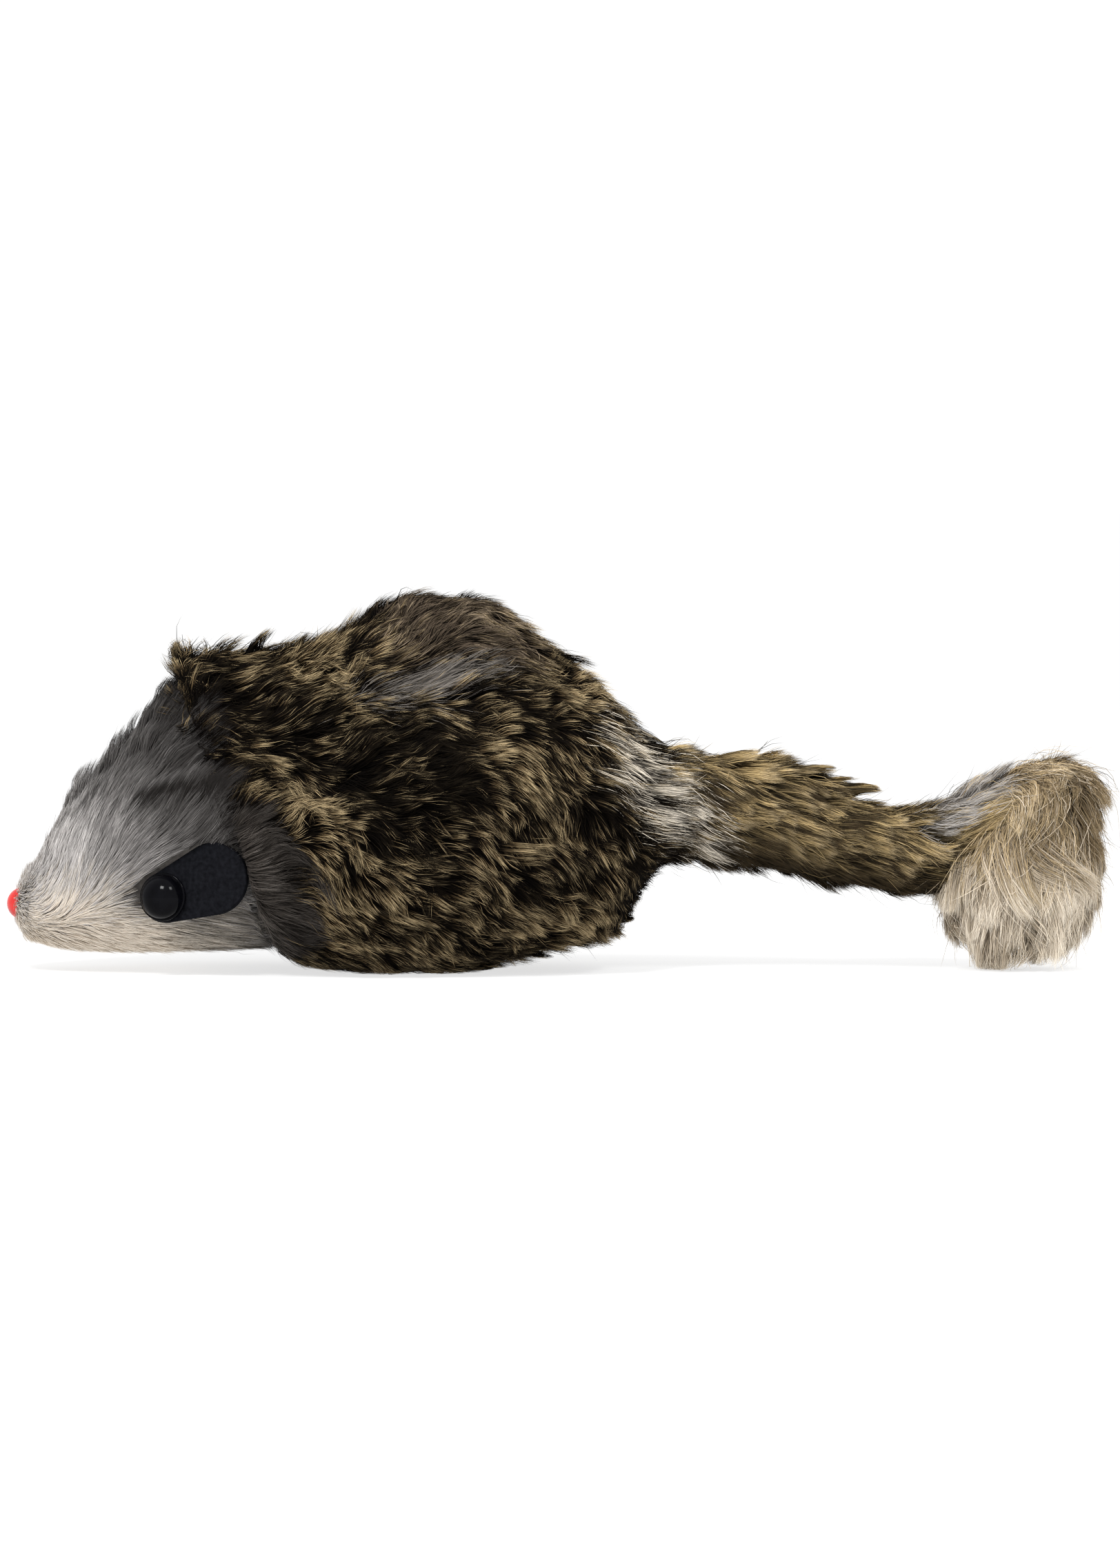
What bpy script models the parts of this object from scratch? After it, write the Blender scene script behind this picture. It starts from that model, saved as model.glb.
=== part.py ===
"""A long-pile mouse toy for cats: a rattle shell in two moulded halves, wrapped in pelts, with a tail of fur strip.

The nose points along -X, the tail along +X and +Z is up. The origin is the middle of the flat of the belly.
"""
import math

import bmesh
import bpy
from mathutils import Matrix, Vector

MM = 0.001

# Clearances between neighbouring pieces
FIT_GAP = 0.3 * MM
CUT_OVERRUN = 20 * MM

# Rattle shell: reaches from the origin to its snout and to its rear, and the section of its barrel
SHELL_FRONT_REACH = 59.7 * MM
SHELL_REAR_REACH = 33 * MM
SHELL_WIDTH = 38 * MM
SHELL_HEIGHT = 38 * MM
SHELL_WALL = 1.6 * MM
BOSS_RADIUS = 2.6 * MM
BOSS_BITE = 0.5 * MM
BOSS_LENGTH = 5 * MM
BOSS_SPREAD = 13 * MM
PIN_RADIUS = 1.2 * MM
PIN_LENGTH = 3 * MM

# Rattle beads and their roll along the floor of the barrel
BEAD_RADIUS = 2.6 * MM
BEAD_SPACING = 5.6 * MM
BEAD_COUNT = 3
BEAD_X = -2 * MM

# Thickness of pelt and pile over the shell
BELLY_PILE = 7 * MM
BACK_PILE = 20 * MM
SIDE_PILE = 10.5 * MM
RUMP_PILE = 10.8 * MM
NOSE_PILE = 5.2 * MM
FACE_LENGTH = 21.7 * MM
BELLY_FLAT = 1.6 * MM

# Locks of the long pile that stand out as its main relief
LOCK_SPACING = 19 * MM
LOCK_RELIEF = 3.6 * MM

# Fibre wad that fills out the hump of the back
WAD_LENGTH = 36 * MM
WAD_X = 11 * MM
WAD_WIDTH = 26 * MM
WAD_RISE = 8 * MM
WAD_DIP = 9 * MM

# Pelt and pile of the head over the shell
CHEEK_PILE = 4 * MM
BROW_PILE = 6 * MM
HEAD_REACH_BACK = 14 * MM

# Nose bead
NOSE_RADIUS = 2.75 * MM
NOSE_SHOW = 2.3 * MM
NOSE_STEM_RADIUS = 1.1 * MM
NOSE_RISE = 4.4 * MM

# Eyes: a dome on a thin rim, with a stem that plugs into the shell
EYE_DOME_RADIUS = 3.75 * MM
EYE_DOME_HEIGHT = 3.1 * MM
EYE_RIM_RADIUS = 4.1 * MM
EYE_RIM_HEIGHT = 0.7 * MM
EYE_STEM_RADIUS = 1.1 * MM
EYE_STEM_LENGTH = 9.5 * MM
EYE_SETBACK = 20.4 * MM
EYE_RISE = 6.6 * MM
EYE_TURN = math.radians(20)
EYE_TILT = math.radians(6)

# Ears: teardrops of foam sheet, pinned under the eyes, that fold at a crease behind the eye
EAR_THICKNESS = 1.4 * MM
EAR_TIP_RADIUS = 4.3 * MM
EAR_LOBE_RADIUS = 6.1 * MM
EAR_REACH = 9.2 * MM
EAR_RISE = math.radians(19)
EAR_SINK = 0.9 * MM
EAR_CREASE = 4.9 * MM

# Tail: a plug in the shell, three lengths of strip and a hanging tuft
PLUG_STEM_RADIUS = 3.4 * MM
PLUG_FLANGE_RADIUS = 5.4 * MM
PLUG_FLANGE_THICKNESS = 1.5 * MM
TAIL_RISE = 2.3 * MM
TAIL_ROOT_RADIUS = 8.3 * MM
TAIL_ROOT_HALF_HEIGHT = 8.8 * MM
TAIL_ROOT_BITE = 1.8 * MM
TAIL_ROOT_LENGTH = 17.8 * MM
TAIL_ROOT_DROP = 2.0 * MM
TAIL_MID_RADIUS = 9.6 * MM
TAIL_MID_HALF_WIDTH = 7.8 * MM
TAIL_MID_LENGTH = 19.2 * MM
TAIL_MID_DROP = 5.4 * MM
TAIL_END_RADIUS = 6.8 * MM
TAIL_END_HALF_HEIGHT = 7.4 * MM
TAIL_END_LENGTH = 25 * MM
TAIL_END_RISE = 11.4 * MM
TAIL_BEND = math.radians(33)
TUFT_LENGTH = 29 * MM
TUFT_WIDTH = 18 * MM
TUFT_TOP = 36.6 * MM
TUFT_FLOOR_GAP = 1.6 * MM
TUFT_BACKSET = 1.0 * MM

SHELL_PLASTIC = ((0.62, 0.60, 0.55), 0.45)
BEAD_PLASTIC = ((0.72, 0.70, 0.62), 0.3)
PLUG_PLASTIC = ((0.50, 0.48, 0.44), 0.5)
WAD_FIBRE = ((0.80, 0.79, 0.76), 0.95)
LONG_PILE = ((0.13, 0.095, 0.06), 0.9)
SHORT_PILE = ((0.46, 0.43, 0.40), 0.9)
TAIL_PILE = ((0.22, 0.16, 0.09), 0.9)
TUFT_PILE = ((0.52, 0.46, 0.37), 0.9)
BLACK_GLOSS = ((0.006, 0.006, 0.007), 0.12)
BLACK_FOAM = ((0.018, 0.018, 0.020), 0.8)
RED_GLOSS = ((0.75, 0.03, 0.02), 0.3)

# Rings of each soft form, front to back. Columns: x of the ring's top and x of its bottom, as shares of the
# reach towards that end, then the heights of its bottom and top and its half width, as shares of the form's.
SHELL_RING_SHARES = (
    (-0.985, -0.985, 0.08, 0.20, 0.16),
    (-0.93, -0.93, 0.02, 0.30, 0.30),
    (-0.76, -0.76, 0.00, 0.53, 0.52),
    (-0.52, -0.52, 0.00, 0.82, 0.78),
    (-0.30, -0.30, 0.00, 1.00, 1.00),
    (-0.15, -0.15, 0.00, 1.00, 1.00),
    (0.15, 0.15, 0.00, 1.00, 1.00),
    (0.50, 0.50, 0.00, 1.00, 1.00),
    (0.84, 0.84, 0.13, 0.87, 0.76),
    (0.99, 0.99, 0.34, 0.68, 0.36),
)
BODY_RING_SHARES = (
    (-0.94, -0.54, 0.13, 0.745, 0.55),
    (-1.08, -0.60, 0.07, 0.833, 0.76),
    (-0.88, -0.44, 0.035, 0.852, 0.87),
    (-0.62, -0.28, 0.01, 0.886, 0.93),
    (-0.36, -0.12, 0.00, 0.890, 0.97),
    (-0.20, 0.03, 0.00, 0.940, 1.00),
    (0.00, 0.16, 0.00, 0.988, 1.00),
    (0.20, 0.30, 0.02, 1.002, 0.99),
    (0.40, 0.45, 0.055, 0.994, 0.95),
    (0.56, 0.61, 0.075, 0.882, 0.87),
    (0.74, 0.78, 0.095, 0.768, 0.73),
    (0.93, 0.92, 0.165, 0.660, 0.53),
    (1.02, 0.99, 0.29, 0.580, 0.32),
)
HEAD_RING_SHARES = (
    (-1.00, -1.00, 0.165, 0.280, 0.17),
    (-0.965, -0.965, 0.105, 0.355, 0.33),
    (-0.885, -0.885, 0.080, 0.585, 0.50),
    (-0.77, -0.77, 0.082, 0.720, 0.66),
    (-0.65, -0.62, 0.084, 0.900, 0.82),
    (-0.50, -0.44, 0.095, 1.03, 0.96),
    (-0.26, -0.20, 0.11, 1.03, 1.00),
)
WAD_RING_SHARES = (
    (-1.00, -1.00, 0.30, 0.45, 0.35),
    (-0.60, -0.60, 0.00, 0.85, 0.85),
    (0.00, 0.00, 0.00, 1.00, 1.00),
    (0.60, 0.60, 0.00, 0.85, 0.85),
    (1.00, 1.00, 0.30, 0.45, 0.35),
)
# Waves that make up the relief of the long pile. Columns: the wave's run along X, out to either side and up, in
# spacings of the locks, then where it starts, as a share of a turn, and its height, as a share of the relief.
LOCK_WAVE_SHARES = (
    (0.34, 0.80, 0.94, 0.15, 0.50),
    (0.87, -0.45, 0.50, 0.60, 0.35),
    (-0.40, 0.55, 0.62, 0.35, 0.35),
)
# Rings down the tuft. Columns: height, and the half length and half width, all as shares of the tuft's.
TUFT_RING_SHARES = (
    (1.00, 0.34, 0.42, 0.18),
    (0.93, 0.72, 0.78, 0.13),
    (0.72, 0.90, 0.95, 0.05),
    (0.42, 0.98, 1.00, 0.00),
    (0.17, 0.86, 0.92, -0.03),
    (0.00, 0.50, 0.66, -0.03),
)
# Rings along a length of strip. Columns: place along it, then the share of the way from its first size to its last.
STRIP_RING_SHARES = (
    (0.02, 0.00),
    (0.28, 0.40),
    (0.66, 0.80),
    (1.00, 1.00),
)
# The end of the strip turns up into the tuft. Columns: place along it, height and size.
TURN_RING_SHARES = (
    (0.02, 0.00, 0.97),
    (0.26, 0.10, 0.95),
    (0.54, 0.48, 0.76),
    (0.80, 0.86, 0.58),
    (1.00, 1.00, 0.36),
)

PELT_POINTS = 8
BODY_POINT_COUNT = 24
SHELL_POINTS = 12
SIDE_SAG_SHARE = 0.22
ROUND_STEPS = 24
HALVINGS = 30
BALL_SEGMENTS = 14
BALL_RINGS = 9
HALF_TURN = math.pi
QUARTER_TURN = math.pi / 2
FULL_TURN = 2 * math.pi

BODY_HEIGHT = BELLY_PILE + SHELL_HEIGHT + BACK_PILE
BODY_WIDTH = SHELL_WIDTH + 2 * SIDE_PILE
BODY_REAR_REACH = SHELL_REAR_REACH + RUMP_PILE
CREST_REACH = SHELL_FRONT_REACH - FACE_LENGTH
HEAD_FRONT_REACH = SHELL_FRONT_REACH + NOSE_PILE
SHELL_TOP = BELLY_PILE + SHELL_HEIGHT
BARREL_AXIS_HEIGHT = BELLY_PILE + SHELL_HEIGHT / 2
HEAD_WIDTH = SHELL_WIDTH + 2 * CHEEK_PILE
HEAD_HEIGHT = SHELL_TOP + BROW_PILE
NOSE_HEIGHT = BELLY_PILE + NOSE_RISE
EYE_X = EYE_SETBACK - SHELL_FRONT_REACH
EYE_HEIGHT = BELLY_PILE + EYE_RISE
TAIL_HEIGHT = BARREL_AXIS_HEIGHT + TAIL_RISE


def clear_scene():
    for obj in list(bpy.data.objects):
        bpy.data.objects.remove(obj, do_unlink=True)


def new_collection(name):
    collection = bpy.data.collections.new(name)
    bpy.context.scene.collection.children.link(collection)
    return collection


def new_material(name, look):
    colour, roughness = look
    material = bpy.data.materials.new(name)
    material.use_nodes = True
    material.diffuse_color = (*colour, 1.0)
    shader = material.node_tree.nodes["Principled BSDF"]
    shader.inputs["Base Color"].default_value = (*colour, 1.0)
    shader.inputs["Roughness"].default_value = roughness
    shader.inputs["Metallic"].default_value = 0.0
    return material


def add_object(name, data, collection, material=None):
    obj = bpy.data.objects.new(name, data)
    collection.objects.link(obj)
    if material:
        data.materials.append(material)
    if collection is cutters:
        obj.hide_render = True
        obj.display_type = "WIRE"
    return obj


def mesh_object(name, shape, collection, material=None):
    """A mesh object from a closed bmesh, facing out and shaded smooth with sharp edges kept."""
    bmesh.ops.recalc_face_normals(shape, faces=shape.faces)
    if shape.calc_volume(signed=True) < 0:
        bmesh.ops.reverse_faces(shape, faces=shape.faces)
    mesh = bpy.data.meshes.new(name)
    shape.to_mesh(mesh)
    shape.free()
    mesh.shade_smooth()
    mesh.set_sharp_from_angle(angle=SHARP_ANGLE)
    return add_object(name, mesh, collection, material)


def hinge(name, place, turn=None, parent=None):
    """An empty on a joint's axis, which carries what turns about it."""
    empty = bpy.data.objects.new(name, None)
    toy.objects.link(empty)
    empty.matrix_world = Matrix.Translation(place) @ (turn or Matrix.Identity(4))
    if parent:
        carry(parent, empty)
    return empty


def carry(empty, child):
    """Parent a piece to an empty without moving it."""
    bpy.context.view_layer.update()
    child.parent = empty
    child.matrix_parent_inverse = empty.matrix_world.inverted()


def boolean(obj, cutter, operation="DIFFERENCE"):
    modifier = obj.modifiers.new(operation.lower() + " " + cutter.name, "BOOLEAN")
    modifier.operation = operation
    modifier.object = cutter
    modifier.solver = "EXACT"


def ring_fullness(points, levels):
    """How much wider than the finished form its cage has to be, because subdivision draws a ring in."""
    chord = math.cos(FULL_TURN / points)
    return 4 / (3 + chord) if levels == 1 else 3 / (2 + chord)


def soft_form(
    name, rings, collection, material=None, grow=0.0, levels=2, points=PELT_POINTS, sag=SIDE_SAG_SHARE, relief=None
):
    """A closed form that swells and tapers: a coarse cage of rings under Subdivision Surface.

    Each ring is its centre, the half vector to its top, and its half width. The relief, if any, is a function of
    a place on the cage that says how far it stands out.
    """
    shape = bmesh.new()
    fullness = ring_fullness(points, levels)
    loops = []
    first = rings[0][0]
    last = rings[-1][0]
    along = (last - first).normalized()
    for number, (centre, up, half_width) in enumerate(rings):
        shift = {0: -grow, len(rings) - 1: grow}.get(number, 0.0)
        up = up + up.normalized() * grow
        half_width = half_width + grow
        loop = []
        for point in range(points):
            angle = FULL_TURN * point / points
            rise = math.sin(angle) - sag * math.cos(angle) ** 2
            reach = up * (rise * fullness) + Vector((0, math.cos(angle) * half_width * fullness, 0))
            if relief:
                outward = reach.normalized()
                reach += outward * relief(centre + reach - outward * grow)
            loop.append(shape.verts.new(centre + along * shift + reach))
        loops.append(loop)
    for before, after in zip(loops, loops[1:]):
        for point in range(points):
            beside = (point + 1) % points
            shape.faces.new((before[point], before[beside], after[beside], after[point]))
    shape.faces.new(reversed(loops[0]))
    shape.faces.new(loops[-1])
    obj = mesh_object(name, shape, collection, material)
    smooth = obj.modifiers.new("smooth", "SUBSURF")
    smooth.levels = levels
    smooth.render_levels = levels
    return obj


def lengthwise_rings(ring_shares, front_reach, rear_reach, base, height, width, middle=0.0):
    """Rings along X from shares of the reaches, the height and the width."""
    rings = []
    for top_x, bottom_x, low, high, half in ring_shares:
        ends = []
        for x_share, z_share in ((top_x, high), (bottom_x, low)):
            reach = front_reach if x_share < 0 else rear_reach
            ends.append(Vector((middle + x_share * reach, 0, base + z_share * height)))
        top, bottom = ends
        rings.append(((top + bottom) / 2, (top - bottom) / 2, half * width / 2))
    return rings


def shell_rings():
    return lengthwise_rings(
        SHELL_RING_SHARES, SHELL_FRONT_REACH, SHELL_REAR_REACH, BELLY_PILE, SHELL_HEIGHT, SHELL_WIDTH
    )


def shell_form(name, collection, material=None, grow=0.0):
    """The shell's outer form, or that form grown or shrunk."""
    return soft_form(name, shell_rings(), collection, material, grow, levels=1, points=SHELL_POINTS, sag=0.0)


def body_rings():
    return lengthwise_rings(
        BODY_RING_SHARES, CREST_REACH, BODY_REAR_REACH, -BELLY_FLAT, BODY_HEIGHT + BELLY_FLAT, BODY_WIDTH
    )


def lock_relief(place):
    """How far the locks of the long pile stand out of the body's cage at a place. Belly and rump end stay calm."""
    waves = 0.0
    for x_share, y_share, z_share, start_share, height_share in LOCK_WAVE_SHARES:
        run = place.x * x_share + abs(place.y) * y_share + place.z * z_share
        waves += math.sin(FULL_TURN * (run / LOCK_SPACING + start_share)) * height_share
    above_belly = min(1, max(0, place.z / LOCK_SPACING))
    ahead_of_rump = min(1, max(0, (BODY_REAR_REACH - place.x) / LOCK_SPACING))
    return LOCK_RELIEF * waves * above_belly * ahead_of_rump


def long_pile_form(name, collection, material=None, grow=0.0):
    """The body's outer form with its locks, or that form grown."""
    return soft_form(
        name, body_rings(), collection, material, grow, levels=1, points=BODY_POINT_COUNT, relief=lock_relief
    )


def head_rings():
    return lengthwise_rings(
        HEAD_RING_SHARES, HEAD_FRONT_REACH, HEAD_REACH_BACK, 0.0, HEAD_HEIGHT, HEAD_WIDTH
    )


def wad_rings():
    return lengthwise_rings(
        WAD_RING_SHARES,
        WAD_LENGTH / 2,
        WAD_LENGTH / 2,
        SHELL_TOP - WAD_DIP,
        WAD_DIP + WAD_RISE,
        WAD_WIDTH,
        WAD_X,
    )


def strip_rings(start, end, first_size, last_size):
    """Rings from one joint to the next. A size is (half height, half width)."""
    rings = []
    for place, blend in STRIP_RING_SHARES:
        half_height = first_size[0] + (last_size[0] - first_size[0]) * blend
        half_width = first_size[1] + (last_size[1] - first_size[1]) * blend
        rings.append((start.lerp(end, place), Vector((0, 0, half_height)), half_width))
    return rings


def turn_rings(start, end):
    """Rings of the strip's end, which turns upwards."""
    rings = []
    for place, height, size in TURN_RING_SHARES:
        centre = Vector((start.x + (end.x - start.x) * place, 0, start.z + (end.z - start.z) * height))
        half_width = TAIL_END_RADIUS * size
        rings.append((centre, Vector((0, 0, TAIL_END_HALF_HEIGHT * size)), half_width))
    return rings


def tuft_rings(middle_x):
    """Rings of the hanging tuft, from its top down."""
    height = TUFT_TOP - TUFT_FLOOR_GAP
    rings = []
    for z_share, length_share, width_share, lean_share in TUFT_RING_SHARES:
        centre = Vector((middle_x + lean_share * TUFT_LENGTH, 0, TUFT_FLOOR_GAP + z_share * height))
        rings.append((centre, Vector((length_share * TUFT_LENGTH / 2, 0, 0)), width_share * TUFT_WIDTH / 2))
    return rings


def ball(name, centre, radii, collection, grow=0.0):
    """A ball or ellipsoid with its middle on a joint."""
    shape = bmesh.new()
    bmesh.ops.create_uvsphere(shape, u_segments=BALL_SEGMENTS, v_segments=BALL_RINGS, radius=1.0)
    shape.transform(Matrix.Diagonal([radius + grow for radius in radii]).to_4x4())
    shape.transform(Matrix.Translation(centre))
    return mesh_object(name, shape, collection)


def cylinder(name, start, end, radius, collection, material=None, steps=ROUND_STEPS):
    """A round bar from start to end."""
    shape = bmesh.new()
    axis = end - start
    bmesh.ops.create_cone(
        shape, cap_ends=True, segments=steps, radius1=radius, radius2=radius, depth=axis.length
    )
    shape.transform(Matrix.Rotation(HALF_TURN / steps, 4, "Z"))
    shape.transform(axis.to_track_quat("Z", "Y").to_matrix().to_4x4())
    shape.transform(Matrix.Translation((start + end) / 2))
    return mesh_object(name, shape, collection, material)


def block(name, low, high, collection):
    """A box between two corners."""
    shape = bmesh.new()
    bmesh.ops.create_cube(shape, size=1.0)
    shape.transform(Matrix.Diagonal(high - low).to_4x4())
    shape.transform(Matrix.Translation((low + high) / 2))
    return mesh_object(name, shape, collection)


def turned(name, profile, collection, material=None, steps=ROUND_STEPS):
    """A turned piece about its own Z, from a profile that runs down its outer side at +X."""
    mesh = bpy.data.meshes.new(name)
    edges = [(number, number + 1) for number in range(len(profile) - 1)]
    mesh.from_pydata([(radius, 0, height) for radius, height in profile], edges, [])
    obj = add_object(name, mesh, collection, material)
    screw = obj.modifiers.new("turn", "SCREW")
    screw.axis = "Z"
    screw.steps = steps
    screw.render_steps = steps
    screw.use_merge_vertices = True
    screw.merge_threshold = MERGE_DISTANCE
    screw.use_smooth_shade = True
    return obj


def arc(middle, radius, start, end, count):
    """Points on an arc, as (x, y) pairs, both ends included."""
    points = []
    for number in range(count + 1):
        angle = start + (end - start) * number / count
        points.append((middle + radius * math.cos(angle), radius * math.sin(angle)))
    return points


def surface_hit(obj, origin, direction):
    """Where a ray from outside first meets an object's finished surface."""
    bpy.context.view_layer.update()
    graph = bpy.context.evaluated_depsgraph_get()
    hit, place, _, _ = obj.evaluated_get(graph).ray_cast(origin, direction.normalized())
    if not hit:
        raise ValueError("no surface of " + obj.name + " lies there")
    return place


def make_halves(tail_seat):
    """The two halves of the rattle shell, with the bosses and pins that line them up."""
    hollow = shell_form("shell hollow", cutters, grow=-SHELL_WALL)
    plug_hole = cylinder(
        "plug hole",
        Vector((SHELL_REAR_REACH / 2, 0, TAIL_HEIGHT)),
        tail_seat + Vector((CUT_OVERRUN, 0, 0)),
        PLUG_STEM_RADIUS + FIT_GAP,
        cutters,
    )
    nose_hole = cylinder(
        "nose stem hole",
        Vector((-HEAD_FRONT_REACH - CUT_OVERRUN, 0, NOSE_HEIGHT)),
        Vector((-SHELL_FRONT_REACH + SHELL_WALL * 3, 0, NOSE_HEIGHT)),
        NOSE_STEM_RADIUS + FIT_GAP,
        cutters,
    )
    top = SHELL_TOP - SHELL_WALL - BOSS_RADIUS + BOSS_BITE
    bottom = BELLY_PILE + SHELL_WALL + BOSS_RADIUS - BOSS_BITE
    middles = [Vector((x, 0, z)) for x, z in ((-BOSS_SPREAD, top), (BOSS_SPREAD, top), (BOSS_SPREAD, bottom))]
    boss_reach = Vector((0, BOSS_LENGTH, 0))
    pin_reach = Vector((0, PIN_LENGTH, 0))
    bosses = [
        cylinder(f"boss {number}", middle - boss_reach, middle + boss_reach, BOSS_RADIUS, cutters)
        for number, middle in enumerate(middles)
    ]
    halves = []
    for name, side in (("shell_left", -1), ("shell_right", 1)):
        half = shell_form(name, toy, shell_plastic)
        boolean(half, hollow)
        for boss in bosses:
            boolean(half, boss, "UNION")
        reach = SHELL_FRONT_REACH + CUT_OVERRUN
        near_y, far_y = sorted((side * FIT_GAP / 2, -side * reach))
        other_side = block(
            name + " other side", Vector((-reach, near_y, -reach)), Vector((reach, far_y, reach)), cutters
        )
        boolean(half, other_side)
        boolean(half, plug_hole)
        boolean(half, nose_hole)
        halves.append(half)
    for number, middle in enumerate(middles):
        pin = cylinder(f"pin {number}", middle - boss_reach / 2, middle + pin_reach, PIN_RADIUS, cutters)
        boolean(halves[0], pin, "UNION")
        socket_end = middle + pin_reach + Vector((0, FIT_GAP, 0))
        socket = cylinder(
            f"pin socket {number}", middle - pin_reach, socket_end, PIN_RADIUS + FIT_GAP, cutters
        )
        boolean(halves[1], socket)
    return halves, plug_hole, nose_hole


def lane_height(y):
    """Height at which a bead's centre clears the floor of the oval barrel, y to the side of its middle."""
    half_width = SHELL_WIDTH / 2 - SHELL_WALL
    half_height = SHELL_HEIGHT / 2 - SHELL_WALL
    low, high = 0.0, QUARTER_TURN
    for _ in range(HALVINGS):
        turn = (low + high) / 2
        floor_spot = Vector((half_width * math.sin(turn), -half_height * math.cos(turn)))
        inwards = Vector((-half_height * math.sin(turn), half_width * math.cos(turn))).normalized()
        centre = floor_spot + inwards * (BEAD_RADIUS + FIT_GAP)
        if centre.x < abs(y):
            low = turn
        else:
            high = turn
    return BARREL_AXIS_HEIGHT + centre.y


def make_beads():
    """Beads side by side on the floor of the barrel, each with its origin at its centre."""
    for number in range(BEAD_COUNT):
        y = (number - (BEAD_COUNT - 1) / 2) * BEAD_SPACING
        shape = bmesh.new()
        bmesh.ops.create_uvsphere(shape, u_segments=BALL_SEGMENTS, v_segments=BALL_RINGS, radius=BEAD_RADIUS)
        bead = mesh_object(f"rattle_bead_{number + 1}", shape, toy, bead_plastic)
        bead.location = (BEAD_X, y, lane_height(y))


def make_nose():
    """A round bead with a stem into the snout of the shell. Its origin is the bead's centre."""
    stem = HEAD_FRONT_REACH - SHELL_FRONT_REACH + SHELL_WALL * 2
    neck = math.asin(NOSE_STEM_RADIUS / NOSE_RADIUS)
    profile = [(0, NOSE_RADIUS)]
    for across, up in arc(0.0, NOSE_RADIUS, QUARTER_TURN, neck - QUARTER_TURN, ROUND_STEPS // 3)[1:]:
        profile.append((across, up))
    profile.append((NOSE_STEM_RADIUS, -stem))
    profile.append((0, -stem))
    nose = turned("nose_bead", profile, toy, red_gloss)
    nose.location = (-HEAD_FRONT_REACH - NOSE_SHOW + NOSE_RADIUS, 0, NOSE_HEIGHT)
    nose.rotation_euler = (0, -QUARTER_TURN, 0)
    return nose


def eye_profile():
    """Dome, rim and stem, with the rim's underside at height zero."""
    profile = [(0, EYE_RIM_HEIGHT + EYE_DOME_HEIGHT)]
    for across, up in arc(0.0, 1.0, QUARTER_TURN, 0.0, ROUND_STEPS // 4)[1:]:
        profile.append((across * EYE_DOME_RADIUS, EYE_RIM_HEIGHT + up * EYE_DOME_HEIGHT))
    profile.append((EYE_RIM_RADIUS, EYE_RIM_HEIGHT))
    profile.append((EYE_RIM_RADIUS, 0))
    profile.append((EYE_STEM_RADIUS, 0))
    profile.append((EYE_STEM_RADIUS, -EYE_STEM_LENGTH))
    profile.append((0, -EYE_STEM_LENGTH))
    return profile


def teardrop(grow=0.0):
    """The ear's outline about the eye: arc round the eye, then the lobe. Returns both arcs and their tangent."""
    lean = math.asin((EAR_LOBE_RADIUS - EAR_TIP_RADIUS) / EAR_REACH)
    tangent = QUARTER_TURN + lean
    tip = arc(0.0, EAR_TIP_RADIUS + grow, tangent, FULL_TURN - tangent, ROUND_STEPS // 2)
    lobe = arc(EAR_REACH, EAR_LOBE_RADIUS + grow, -tangent, tangent, ROUND_STEPS)
    return tip, lobe


def crease_points(tip, lobe, place):
    """Where a line across the ear, at a place along it, cuts the two straight sides."""
    points = []
    for near, far in ((tip[-1], lobe[0]), (tip[0], lobe[-1])):
        share = (place - near[0]) / (far[0] - near[0])
        points.append((place, near[1] + (far[1] - near[1]) * share))
    return points


def flat_piece(name, outlines, thickness, collection, material=None):
    """A flat outline, with holes, given its thickness about its own middle plane."""
    curve = bpy.data.curves.new(name, "CURVE")
    curve.dimensions = "2D"
    curve.fill_mode = "BOTH"
    curve.extrude = thickness / 2
    for outline in outlines:
        spline = curve.splines.new("POLY")
        spline.points.add(len(outline) - 1)
        for point, (x, y) in zip(spline.points, outline):
            point.co = (x, y, 0, 1)
        spline.use_cyclic_u = True
    return add_object(name, curve, collection, material)


def as_mesh(obj, collection, material=None):
    """A curve object made a mesh with its caps welded, so that it can be cut or can cut."""
    bpy.context.view_layer.update()
    graph = bpy.context.evaluated_depsgraph_get()
    mesh = bpy.data.meshes.new_from_object(obj.evaluated_get(graph))
    shape = bmesh.new()
    shape.from_mesh(mesh)
    bmesh.ops.remove_doubles(shape, verts=shape.verts, dist=MERGE_DISTANCE)
    name, matrix = obj.name, obj.matrix_world.copy()
    bpy.data.objects.remove(obj, do_unlink=True)
    made = mesh_object(name, shape, collection, material)
    made.name = name
    made.matrix_world = matrix
    return made


def face_frame(side, head_form):
    """The seat of an eye: Z along its stem outwards, X along the ear, origin on the head's surface."""
    outward = Vector((
        -math.sin(EYE_TURN) * math.cos(EYE_TILT),
        side * math.cos(EYE_TURN) * math.cos(EYE_TILT),
        math.sin(EYE_TILT),
    ))
    aim = Vector((EYE_X, 0, EYE_HEIGHT))
    far = Vector((EYE_X, side * (HEAD_WIDTH + CUT_OVERRUN), EYE_HEIGHT))
    seat = surface_hit(head_form, far, aim - far)
    back = (Vector((1, 0, 0)) - outward * outward.x).normalized()
    along = Matrix.Rotation(-side * EAR_RISE, 3, outward) @ back
    across = outward.cross(along)
    frame = Matrix((along, across, outward)).transposed().to_4x4()
    frame.translation = seat - outward * EAR_SINK
    return frame


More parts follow.
